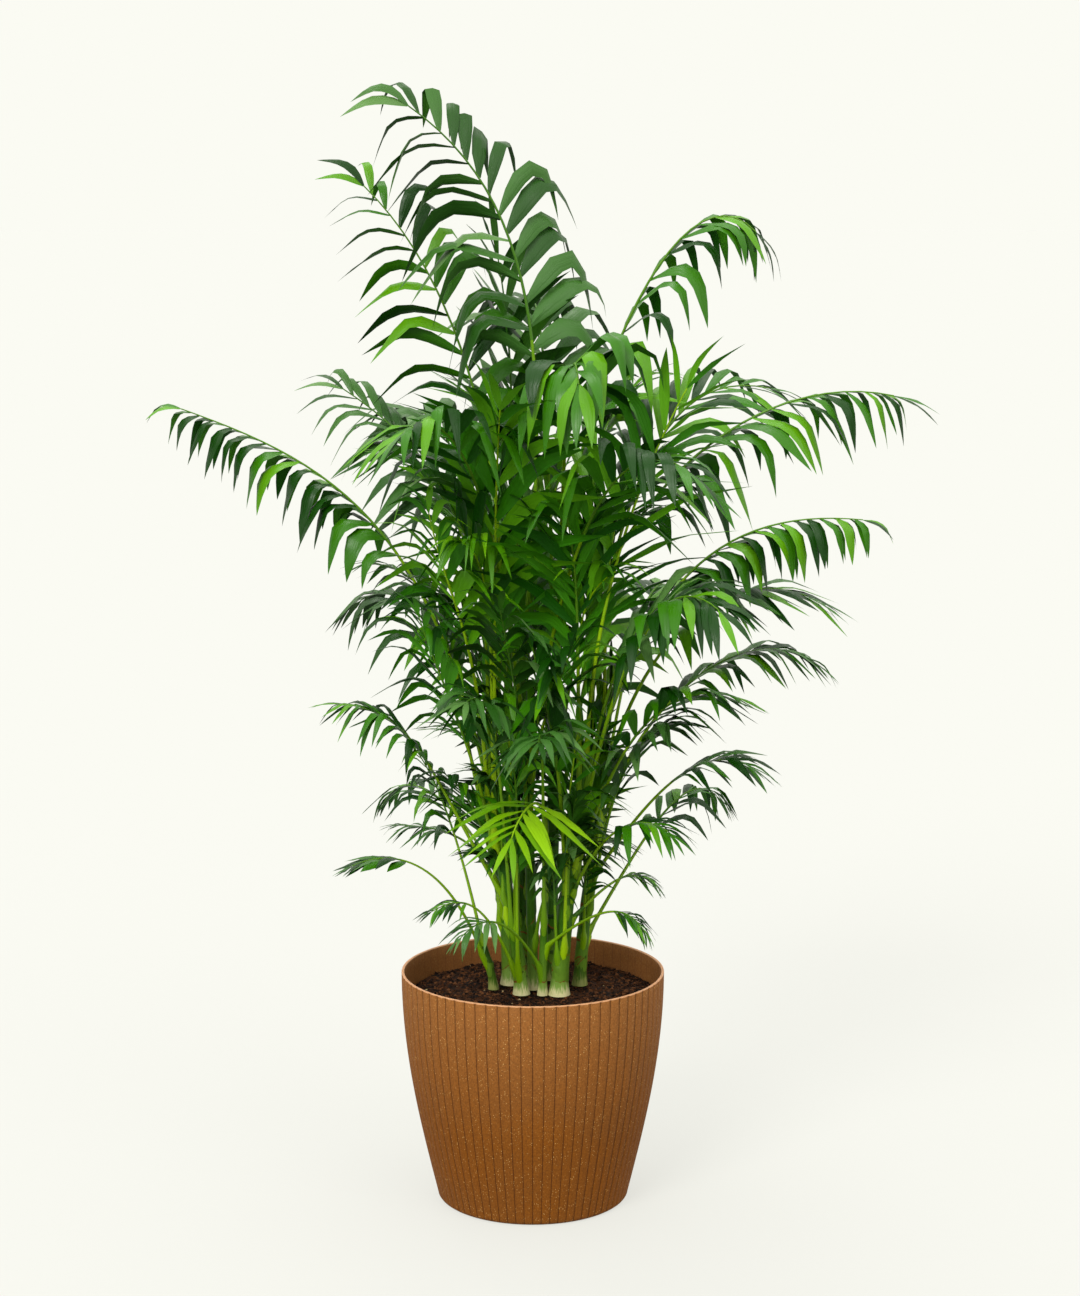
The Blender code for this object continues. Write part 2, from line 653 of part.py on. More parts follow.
def main():
    """Builds the pot, the soil, the canes and the fronds."""
    clear_scene()
    collection = bpy.data.collections.new("potted_palm")
    bpy.context.scene.collection.children.link(collection)
    origin = bpy.data.objects.new("palm_origin", None)
    collection.objects.link(origin)
    taken = [world_tree(make_pot(collection, origin)), world_tree(make_soil(collection, origin))]
    canes = {}
    for cane in CANES:
        canes[cane.name] = (cane, world_tree(make_cane(cane, collection, origin)))
    taken += [tree for _, tree in canes.values()]
    plans = [Plan(frond, *canes[frond.cane]) for frond in FRONDS]
    for plan in plans:
        ribs = [other.rib_tree for other in plans if other is not plan]
        taken.append(world_tree(make_frond(plan, taken + ribs, collection, origin)))


main()
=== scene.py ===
"""Dresses the potted palm: a pleated pot of potting soil, sheathed canes and arching fronds.

Lengths are in metres and angles in degrees. The origin is the centre of the pot's flat
underside, +Z is up and the viewer stands at -Y.
"""

import logging
import math
import random
from collections.abc import Sequence
from dataclasses import dataclass, field
from enum import Enum

import bpy
import numpy as np
from mathutils import Matrix, Vector
from mathutils.noise import noise


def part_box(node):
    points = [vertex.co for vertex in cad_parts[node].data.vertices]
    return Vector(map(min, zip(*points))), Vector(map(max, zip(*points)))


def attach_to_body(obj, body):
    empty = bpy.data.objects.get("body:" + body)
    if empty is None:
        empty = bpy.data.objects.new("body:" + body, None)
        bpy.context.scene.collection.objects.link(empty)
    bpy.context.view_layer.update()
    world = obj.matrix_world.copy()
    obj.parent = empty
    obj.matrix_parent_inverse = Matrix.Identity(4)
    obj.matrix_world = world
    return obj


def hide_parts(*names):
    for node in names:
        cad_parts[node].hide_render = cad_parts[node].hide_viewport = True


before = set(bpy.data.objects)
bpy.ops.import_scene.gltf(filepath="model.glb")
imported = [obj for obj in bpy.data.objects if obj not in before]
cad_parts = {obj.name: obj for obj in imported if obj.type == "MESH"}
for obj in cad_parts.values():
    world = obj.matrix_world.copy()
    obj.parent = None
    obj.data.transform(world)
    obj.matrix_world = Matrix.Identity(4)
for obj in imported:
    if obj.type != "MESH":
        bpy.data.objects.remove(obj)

log = logging.getLogger("potted_palm")

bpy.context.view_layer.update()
BODY = "root"

# What the frame says of the pot and of the soil that the canes stand on
POT_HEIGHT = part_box("pot")[1].z
RIM_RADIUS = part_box("pot")[1].x
SOIL_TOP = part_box("soil")[1].z
FOOT_RADIUS = 0.1085
WALL = 0.0035
PLEATS = 72
GAP = 0.0003

UP = Vector((0.0, 0.0, 1.0))
DOWN = -UP
EVEN = (1.0, 1.0, 1.0)
WELD = 0.00001

Colour = tuple[float, float, float, float]
Face = tuple[int, ...]


def tone(red: float, green: float, blue: float) -> Colour:
    """Turns a colour as the eye reads it into linear light.

    Args:
        red: Its red, from 0 to 255.
        green: Its green, from 0 to 255.
        blue: Its blue, from 0 to 255.

    Returns:
        The linear colour, with full alpha.
    """
    return (*((channel / 255.0) ** 2.2 for channel in (red, green, blue)), 1.0)


class Tint(Enum):
    """The greens that the fronds are dealt, by the record's slot names."""

    DEEP = "leaf_deep"
    GREEN = "leaf_green"
    BRIGHT = "leaf_bright"
    LIME = "leaf_lime"


class Recipe:
    """A material's node tree, with short ways to add and join its nodes."""

    def __init__(self, name: str) -> None:
        """Starts a material with its Principled shader.

        Args:
            name: The material's name.
        """
        self.material = bpy.data.materials.new(name)
        self.material.use_nodes = True
        self.tree = self.material.node_tree
        self.shader = self.tree.nodes["Principled BSDF"]

    def set(self, **values: float | Colour) -> None:
        """Sets the shader's own sockets.

        Args:
            values: Each socket's name, with _ for a space, and its value.
        """
        for name, value in values.items():
            self.shader.inputs[name.replace("_", " ")].default_value = value

    def add(self, kind: str, **settings: float | str | bool) -> bpy.types.Node:
        """Adds a node.

        Args:
            kind: The node's type without its ShaderNode prefix.
            settings: The node's own properties.

        Returns:
            The new node.
        """
        node = self.tree.nodes.new(f"ShaderNode{kind}")
        for name, value in settings.items():
            setattr(node, name, value)
        return node

    def join(self, source: bpy.types.NodeSocket, target: bpy.types.NodeSocket) -> None:
        """Links two sockets."""
        self.tree.links.new(source, target)

    def scaled(self, output: str, scale: Sequence[float]) -> bpy.types.NodeSocket:
        """Gives the piece's own coordinates, stretched.

        Args:
            output: Object or UV.
            scale: The factor along each axis.

        Returns:
            The socket of the stretched coordinates.
        """
        source = self.add("TexCoord").outputs[output]
        mapping = self.add("Mapping")
        mapping.inputs["Scale"].default_value = scale
        self.join(source, mapping.inputs["Vector"])
        return mapping.outputs["Vector"]

    def cloud(self, place: bpy.types.NodeSocket, scale: float, detail: float = 3.0) -> bpy.types.NodeSocket:
        """Gives a noise pattern.

        Args:
            place: The coordinates that it follows.
            scale: How many lumps it has to a metre.
            detail: How many finer octaves it has.

        Returns:
            The socket of the pattern, from 0 to 1.
        """
        texture = self.add("TexNoise")
        texture.inputs["Scale"].default_value = scale
        texture.inputs["Detail"].default_value = detail
        self.join(place, texture.inputs["Vector"])
        return texture.outputs["Fac"]

    def specks(self, place: bpy.types.NodeSocket, scale: float) -> bpy.types.NodeSocket:
        """Gives the distance to the nearest of many scattered points.

        Args:
            place: The coordinates that it follows.
            scale: How many points it has to a metre.

        Returns:
            The socket of the distance, in spacings.
        """
        texture = self.add("TexVoronoi")
        texture.inputs["Scale"].default_value = scale
        self.join(place, texture.inputs["Vector"])
        return texture.outputs["Distance"]

    def span(
        self, value: bpy.types.NodeSocket, low: float, high: float, to: tuple[float, float] = (0.0, 1.0)
    ) -> bpy.types.NodeSocket:
        """Stretches a stretch of values over another.

        Args:
            value: The socket of the values.
            low: Where the stretch starts.
            high: Where it ends.
            to: What those two become.

        Returns:
            The socket of the new values, kept between the two ends.
        """
        node = self.add("MapRange")
        node.inputs["From Min"].default_value = low
        node.inputs["From Max"].default_value = high
        node.inputs["To Min"].default_value = to[0]
        node.inputs["To Max"].default_value = to[1]
        self.join(value, node.inputs["Value"])
        return node.outputs["Result"]

    def work(
        self, operation: str, first: bpy.types.NodeSocket, second: bpy.types.NodeSocket | float
    ) -> bpy.types.NodeSocket:
        """Works one Math node.

        Args:
            operation: The node's operation.
            first: Its first value.
            second: Its second value, as a socket or a number.

        Returns:
            The socket of the result.
        """
        node = self.add("Math", operation=operation)
        self.join(first, node.inputs[0])
        if isinstance(second, float):
            node.inputs[1].default_value = second
        else:
            self.join(second, node.inputs[1])
        return node.outputs[0]

    def blend(
        self,
        share: bpy.types.NodeSocket,
        low: bpy.types.NodeSocket | Colour,
        high: bpy.types.NodeSocket | Colour,
    ) -> bpy.types.NodeSocket:
        """Mixes two colours.

        Args:
            share: How much of the second shows.
            low: The first colour.
            high: The second colour.

        Returns:
            The socket of the mixed colour.
        """
        node = self.add("Mix", data_type="RGBA")
        self.join(share, node.inputs[0])
        for socket, colour in ((node.inputs[6], low), (node.inputs[7], high)):
            if isinstance(colour, tuple):
                socket.default_value = colour
            else:
                self.join(colour, socket)
        return node.outputs[2]

    def bump(self, height: bpy.types.NodeSocket, depth: float, strength: float = 1.0) -> None:
        """Raises the surface by a pattern.

        Args:
            height: The pattern.
            depth: The height of a value of 1, in metres.
            strength: How much of it shows.
        """
        node = self.add("Bump")
        node.inputs["Distance"].default_value = depth
        node.inputs["Strength"].default_value = strength
        self.join(height, node.inputs["Height"])
        self.join(node.outputs["Normal"], self.shader.inputs["Normal"])


@dataclass(frozen=True)
class FleckedPlastic:
    """Matt caramel plastic filled with wood flour: pale flecks, fine upright grain, painted shade in the
    grooves.

    base and warm mottle each other, and the sun tone, a painted light, fades in over its given heights, so
    that the upper wall is lighter, as if lit from above. A scale is how many lumps or points a pattern has
    to a metre, the groove shade's width a share of a pleat, fleck_size a share of the flecks' spacing, and
    most_grain and the most groove shade how dark those get; groove is the dark tone of both the grain and
    the painted shade in the grooves. Where the grain is as dark as rough_grain, the plastic is roughest.
    """

    name: str
    base: Colour
    warm: Colour
    fleck: Colour
    # The dark tone of the grain, and the painted shade in the grooves
    groove: Colour
    groove_shade_width: float = 0.13
    most_groove_shade: float = 0.95
    roughness: tuple[float, float] = (0.5, 0.68)
    gloss: float = 0.2
    # Painted light: the lighter tone that the upper wall takes, as if lit from above
    sun: Colour = tone(160, 104, 54)
    painted_light_heights: tuple[float, float] = (0.10, 0.30)
    mottle_scale: float = 14.0
    grain_scale: float = 620.0
    grain_stretch: tuple[float, float, float] = (1.0, 1.0, 0.7)
    most_grain: float = 0.34
    rough_grain: float = 0.32
    fleck_scale: float = 440.0
    fleck_size: float = 0.22
    patch_scale: float = 170.0
    relief_scale: float = 900.0
    relief: float = 0.0002

    def make(self) -> bpy.types.Material:
        """Makes the material.

        Returns:
            The new material.
        """
        recipe = Recipe(self.name)
        place = recipe.scaled("Object", EVEN)
        drawn = recipe.scaled("Object", self.grain_stretch)
        mottle = recipe.span(recipe.cloud(place, self.mottle_scale), 0.35, 0.65)
        body = recipe.blend(mottle, self.base, self.warm)
        split = recipe.add("SeparateXYZ")
        recipe.join(place, split.inputs[0])
        # Painted light: the wall lightens upwards towards the sun tone
        body = recipe.blend(recipe.span(split.outputs["Z"], *self.painted_light_heights), body, self.sun)
        grain = recipe.span(recipe.cloud(drawn, self.grain_scale), 0.35, 0.65, (0.0, self.most_grain))
        body = recipe.blend(grain, body, self.groove)
        points = recipe.specks(place, self.fleck_scale)
        flecks = recipe.span(points, self.fleck_size, self.fleck_size / 2.0)
        patches = recipe.span(recipe.cloud(place, self.patch_scale, 1.0), 0.44, 0.58)
        body = recipe.blend(recipe.work("MULTIPLY", flecks, patches), body, self.fleck)
        # Painted shade: darkens the grooves between the pleats, where shade falls
        body = recipe.blend(self.grooves(recipe, place), body, self.groove)
        recipe.join(body, recipe.shader.inputs["Base Color"])
        rough = recipe.span(grain, 0.0, self.rough_grain, self.roughness)
        recipe.join(rough, recipe.shader.inputs["Roughness"])
        recipe.set(Specular_IOR_Level=self.gloss)
        recipe.bump(recipe.cloud(place, self.relief_scale), self.relief, 0.5)
        return recipe.material

    def grooves(self, recipe: Recipe, place: bpy.types.NodeSocket) -> bpy.types.NodeSocket:
        """Finds the grooves between the pleats by their angle round the pot, where shade is painted.

        Args:
            recipe: The material's nodes.
            place: The pot's own coordinates.

        Returns:
            The socket of how much groove a place is.
        """
        split = recipe.add("SeparateXYZ")
        recipe.join(place, split.inputs[0])
        angle = recipe.work("ARCTAN2", split.outputs["Y"], split.outputs["X"])
        turns = recipe.work("MULTIPLY", angle, PLEATS / math.tau)
        middle = recipe.work("PINGPONG", turns, 0.5)
        return recipe.span(middle, self.groove_shade_width / 2.0, 0.0, (0.0, self.most_groove_shade))


@dataclass(frozen=True)
class RoughEarth:
    """Dark, dry-topped potting soil."""

    name: str
    dark: Colour
    light: Colour
    mottle_scale: float = 170.0
    relief_scale: float = 260.0
    relief: float = 0.005
    octaves: float = 6.0
    roughness: float = 0.95
    gloss: float = 0.2

    def make(self) -> bpy.types.Material:
        """Makes the material.

        Returns:
            The new material.
        """
        recipe = Recipe(self.name)
        place = recipe.scaled("Object", EVEN)
        mottle = recipe.span(recipe.cloud(place, self.mottle_scale, self.octaves), 0.40, 0.62)
        recipe.join(recipe.blend(mottle, self.dark, self.light), recipe.shader.inputs["Base Color"])
        recipe.set(Roughness=self.roughness, Specular_IOR_Level=self.gloss)
        recipe.bump(recipe.cloud(place, self.relief_scale, self.octaves), self.relief)
        return recipe.material


@dataclass(frozen=True)
class SatinSkin:
    """A satin surface of one colour with fine lines that run along it, as on a leaf or a rib.

    lines is how many it has across, and wear how far its roughness strays either way.
    """

    name: str
    colour: Colour
    roughness: float = 0.42
    lines: float = 4.0
    relief: float = 0.0008
    gloss: float = 0.28
    wear: float = 0.12
    wear_scale: float = 60.0

    def make(self) -> bpy.types.Material:
        """Makes the material.

        Returns:
            The new material.
        """
        recipe = Recipe(self.name)
        recipe.set(Base_Color=self.colour, Specular_IOR_Level=self.gloss)
        lanes = recipe.cloud(recipe.scaled("UV", (self.lines, 0.5, 1.0)), 1.6, 2.0)
        worn = recipe.cloud(recipe.scaled("Object", EVEN), self.wear_scale)
        ends = (self.roughness - self.wear, self.roughness + self.wear)
        recipe.join(recipe.span(worn, 0.3, 0.7, ends), recipe.shader.inputs["Roughness"])
        recipe.bump(lanes, self.relief)
        return recipe.material


@dataclass(frozen=True)
class StemSkin:
    """The skin of a cane: whitish at its foot, pale above, green higher up, finely lined.

    The heights are over the soil, and ragged is how far the lines carry one colour into the next.
    """

    name: str
    foot: Colour
    pale: Colour
    green: Colour
    foot_height: float = 0.004
    pale_height: float = 0.012
    green_height: float = 0.060
    ragged: float = 0.006
    line_scale: float = 700.0
    line_stretch: tuple[float, float, float] = (1.0, 1.0, 0.06)
    relief: float = 0.0003
    roughness: float = 0.36
    gloss: float = 0.25

    def make(self) -> bpy.types.Material:
        """Makes the material.

        Returns:
            The new material.
        """
        recipe = Recipe(self.name)
        place = recipe.scaled("Object", EVEN)
        split = recipe.add("SeparateXYZ")
        recipe.join(place, split.inputs[0])
        lined = recipe.cloud(recipe.scaled("Object", self.line_stretch), self.line_scale)
        stray = recipe.span(lined, 0.3, 0.7, (-self.ragged, self.ragged))
        height = recipe.work("ADD", split.outputs["Z"], stray)
        low = recipe.span(height, SOIL_TOP + self.foot_height, SOIL_TOP + self.pale_height)
        high = recipe.span(height, SOIL_TOP + self.pale_height, SOIL_TOP + self.green_height)
        body = recipe.blend(high, recipe.blend(low, self.foot, self.pale), self.green)
        recipe.join(body, recipe.shader.inputs["Base Color"])
        recipe.set(Roughness=self.roughness, Specular_IOR_Level=self.gloss)
        recipe.bump(lined, self.relief)
        return recipe.material


@dataclass(frozen=True)
class PaleFloor:
    """A plain pale studio floor that glows a little, so that shadows on it stay faint."""

    name: str
    shade: float
    glow: Colour
    strength: float

    def make(self) -> bpy.types.Material:
        """Makes the material.

        Returns:
            The new material.
        """
        recipe = Recipe(self.name)
        grey = (self.shade, self.shade, self.shade, 1.0)
        recipe.set(Base_Color=grey, Roughness=1.0, Specular_IOR_Level=0.0)
        recipe.set(Emission_Color=self.glow, Emission_Strength=self.strength)
        return recipe.material


@dataclass
class Heap:
    """A joined mesh in the making: the points, faces and finishes of many small closed shapes."""

    points: list[np.ndarray] = field(default_factory=list)
    faces: list[Face] = field(default_factory=list)
    shades: list[int] = field(default_factory=list)
    places: list[np.ndarray] = field(default_factory=list)
    count: int = 0

    def add(
        self, points: np.ndarray, faces: Sequence[Face], shades: Sequence[int], places: np.ndarray
    ) -> None:
        """Adds one shape.

        Args:
            points: Its points, one a row.
            faces: Its faces, as numbers of its own points.
            shades: The finish of each face.
            places: Each point's place across and along the shape.
        """
        self.faces.extend(tuple(index + self.count for index in face) for face in faces)
        self.points.append(points)
        self.shades.extend(shades)
        self.places.append(places)
        self.count += len(points)

    def piece(self, name: str, finishes: Sequence[bpy.types.Material], sharp: float) -> bpy.types.Object:
        """Joins what was added into one object.

        Args:
            name: The object's name.
            finishes: Its materials, in the order of the shades.
            sharp: The angle past which an edge is sharp.

        Returns:
            The new object.
        """
        mesh = bpy.data.meshes.new(name)
        mesh.from_pydata(np.vstack(self.points).tolist(), [], self.faces)
        for finish in finishes:
            mesh.materials.append(finish)
        mesh.polygons.foreach_set("material_index", self.shades)
        corners = np.empty(len(mesh.loops), dtype=np.int32)
        mesh.loops.foreach_get("vertex_index", corners)
        layer = mesh.uv_layers.new(name="along")
        layer.data.foreach_set("uv", np.vstack(self.places)[corners].astype(np.float32).ravel())
        mesh.shade_smooth()
        mesh.set_sharp_from_angle(angle=math.radians(sharp))
        mesh.update()
        made = bpy.data.objects.new(name, mesh)
        bpy.context.scene.collection.objects.link(made)
        return made


def tube_faces(rings: int, sides: int) -> list[Face]:
    """Lists the faces of a closed tube whose rings follow one another.

    Args:
        rings: How many rings it has.
        sides: How many points a ring has.

    Returns:
        The faces, outward, with a cap at each end.
    """
    faces: list[Face] = [tuple(range(sides - 1, -1, -1))]
    for ring in range(rings - 1):
        for side in range(sides):
            beside = (side + 1) % sides
            low, high = ring * sides, (ring + 1) * sides
            faces.append((low + side, low + beside, high + beside, high + side))
    faces.append(tuple((rings - 1) * sides + side for side in range(sides)))
    return faces


def tube_points(path: Sequence[Vector], radii: Sequence[float], sides: int) -> tuple[np.ndarray, np.ndarray]:
    """Draws a round ring at each point of a path.

    Args:
        path: The points.
        radii: The ring's radius at each.
        sides: How many points a ring has.

    Returns:
        The rings' points, and their places across and along.
    """
    points, places = [], []
    across = Vector((1.0, 0.0, 0.0))
    for index, centre in enumerate(path):
        before, after = path[max(0, index - 1)], path[min(len(path) - 1, index + 1)]
        along = (after - before).normalized()
        across = (across - along * across.dot(along)).normalized()
        beside = along.cross(across)
        for side in range(sides):
            angle = math.tau * side / sides
            points.append(centre + (across * math.cos(angle) + beside * math.sin(angle)) * radii[index])
            places.append((side / sides, index / (len(path) - 1)))
    return np.array(points), np.array(places)


class Bench:
    """The moves that pieces made by hand from a primitive share."""

    @staticmethod
    def clear() -> None:
        """Leaves nothing selected."""
        bpy.ops.object.select_all(action="DESELECT")

    @staticmethod
    def circle(name: str, radius: float, height: float, corners: int, filled: bool) -> bpy.types.Object:
        """Adds a level circle and opens it in edit mode, all selected.

        Args:
            name: The piece's name.
            radius: The circle's radius.
            height: Its height.
            corners: How many corners it has.
            filled: Whether it starts as one face.

        Returns:
            The new piece.
        """
        Bench.clear()
        fill = "NGON" if filled else "NOTHING"
        place = (0.0, 0.0, height)
        bpy.ops.mesh.primitive_circle_add(vertices=corners, radius=radius, fill_type=fill, location=place)
        piece = bpy.context.active_object
        piece.name = name
        bpy.ops.object.transform_apply(location=True, rotation=True, scale=True)
        bpy.ops.object.mode_set(mode="EDIT")
        bpy.ops.mesh.select_all(action="SELECT")
        return piece

    @staticmethod
    def draw(step: Vector, centre: Vector, scale: float) -> None:
        """Extrudes what is selected and scales the new ring about its middle.

        Args:
            step: How far the ring goes.
            centre: The middle of the new ring.
            scale: What its radius is multiplied by.
        """
        bpy.ops.mesh.extrude_region_move(TRANSFORM_OT_translate={"value": step})
        bpy.ops.transform.resize(value=(scale, scale, 1.0), center_override=centre)

    @staticmethod
    def close(piece: bpy.types.Object, smooth: float) -> None:
        """Ends edit mode with all faces outward and the round edges smooth.

        Args:
            piece: The piece in edit mode.
            smooth: The angle up to which edges are smooth.
        """
        bpy.ops.mesh.select_all(action="SELECT")
        bpy.ops.mesh.remove_doubles(threshold=WELD)
        bpy.ops.mesh.normals_make_consistent(inside=False)
        bpy.ops.object.mode_set(mode="OBJECT")
        piece.select_set(True)
        bpy.ops.object.shade_smooth_by_angle(angle=math.radians(smooth))
        Bench.clear()


def settle(piece: bpy.types.Object, slot: str, *nodes: str) -> None:
    """Lets a finished piece ride and stand for its CAD nodes.

    Args:
        piece: The piece.
        slot: The record's material slot. Not used.
        nodes: The CAD nodes that it stands for.
    """
    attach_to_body(piece, BODY)
    if nodes:
        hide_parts(*nodes)
    log.info("%s: %d faces", piece.name, len(piece.data.polygons))


@dataclass
class PleatedPot:
    """The pot: a thin round wall of narrow upright pleats with grooves between them.

    groove_share is the part of a pleat, from either edge, that its groove takes. The outer wall
    begins at wall_start, and the inner one ends at floor_height, under the soil.
    """

    bands: int = 26
    groove_depth: float = 0.0012
    groove_share: float = 0.04
    lip_bevel: float = 0.0012
    lip_steps: int = 5
    foot_round: float = 0.006
    foot_steps: int = 4
    wall_start: float = 0.001
    floor_height: float = 0.215
    inner_steps: int = 4
    corners_a_pleat: int = 6
    smooth_angle: float = 38.0

    def radius(self, height: float) -> float:
        """The outer radius at this height."""
        return FOOT_RADIUS + (RIM_RADIUS - FOOT_RADIUS) * math.sin(math.pi / 2.0 * height / POT_HEIGHT)

    def build(self) -> bpy.types.Object:
        """Draws the wall up from the foot, over the lip and down its inside.

        Returns:
            The finished pot.
        """
        corners = PLEATS * self.corners_a_pleat
        foot = self.radius(self.foot_round) - self.foot_round
        pot = Bench.circle("pot_shell", foot, 0.0, corners, filled=True)
        rings = [(foot, 0.0)]
        for step in range(1, self.foot_steps + 1):
            angle = math.pi / 2.0 * step / self.foot_steps
            reach = foot + self.foot_round * math.sin(angle)
            rings.append((reach, self.foot_round * (1.0 - math.cos(angle))))
        top = POT_HEIGHT - self.lip_bevel
        for band in range(1, self.bands + 1):
            height = self.foot_round + (top - self.foot_round) * band / self.bands
            rings.append((self.radius(height), height))
        self.draw_rings(rings)
        self.draw_lip(rings[-1])
        Bench.close(pot, self.smooth_angle)
        self.cut_grooves(pot)
        return pot

    def draw_rings(self, rings: Sequence[tuple[float, float]]) -> None:
        """Extrudes the wall through its rings.

        Args:
            rings: Each ring's radius and height.
        """
        for (radius, height), (next_radius, next_height) in zip(rings, rings[1:]):
            step = Vector((0.0, 0.0, next_height - height))
            Bench.draw(step, Vector((0.0, 0.0, next_height)), next_radius / radius)

    def draw_lip(self, ring: tuple[float, float]) -> None:
        """Rounds the lip and draws the inner wall down to under the soil.

        Args:
            ring: The radius and height of the wall's last ring.
        """
        half = WALL / 2.0
        rings = [ring]
        for step in range(1, self.lip_steps + 1):
            angle = math.pi * step / self.lip_steps
            reach = RIM_RADIUS - half + half * math.cos(angle)
            rings.append((reach, POT_HEIGHT - self.lip_bevel + self.lip_bevel * math.sin(angle)))
        for step in range(1, self.inner_steps + 1):
            height = POT_HEIGHT - (POT_HEIGHT - self.floor_height) * step / self.inner_steps
            rings.append((self.radius(height) - WALL, height))
        self.draw_rings(rings)

    def cut_grooves(self, pot: bpy.types.Object) -> None:
        """Presses the grooves into the outer wall, between flat pleats.

        Args:
            pot: The plain pot.
        """
        flat = math.cos(math.pi / PLEATS)
        for vertex in pot.data.vertices:
            place = vertex.co
            reach = math.hypot(place.x, place.y)
            outer = reach > self.radius(min(place.z, POT_HEIGHT)) - WALL * 0.45
            on_wall = self.wall_start <= place.z <= POT_HEIGHT - self.lip_bevel / 2.0
            if not outer or not on_wall:
                continue
            phase = (math.atan2(place.y, place.x) / math.tau * PLEATS) % 1.0
            from_middle = abs(phase - 0.5) * math.tau / PLEATS
            chord = flat / math.cos(from_middle)
            pressed = self.groove_depth if min(phase, 1.0 - phase) < self.groove_share else 0.0
            scale = (reach * chord - pressed) / reach
            place.x *= scale
            place.y *= scale

    def dress(self, pot: bpy.types.Object) -> None:
        """Gives the outside and the inside their finishes, the inside as a darker copy of the plastic:
        painted shade.

        Args:
            pot: The finished shape.
        """
        outside = FleckedPlastic(
            "pot_outside",
            base=tone(131, 78, 26),
            warm=tone(136, 79, 19),
            fleck=tone(228, 180, 112),
            # The dark tone of the grain and of the painted shade in the grooves
            groove=tone(58, 28, 12),
        )
        # Painted shade: the inside is a darker copy of the same plastic, as it lies in shadow
        inside = FleckedPlastic(
            "pot_inside",
            base=tone(104, 66, 46),
            warm=tone(114, 70, 44),
            fleck=tone(170, 130, 90),
            groove=tone(74, 46, 34),
            groove_shade_width=0.05,
        )
        lip = SatinSkin("pot_lip", tone(205, 150, 110), roughness=0.5, lines=1.0, relief=0.0001)
        for finish in (outside, inside, lip):
            pot.data.materials.append(finish.make())
        for face in pot.data.polygons:
            reach = math.hypot(face.center.x, face.center.y)
            if face.center.z > POT_HEIGHT - self.lip_bevel * 0.8:
                face.material_index = 2
            # Faces of the inner wall take the darker copy, painted shade
            elif face.center.z > self.floor_height and reach < self.radius(face.center.z) - WALL * 0.6:
                face.material_index = 1


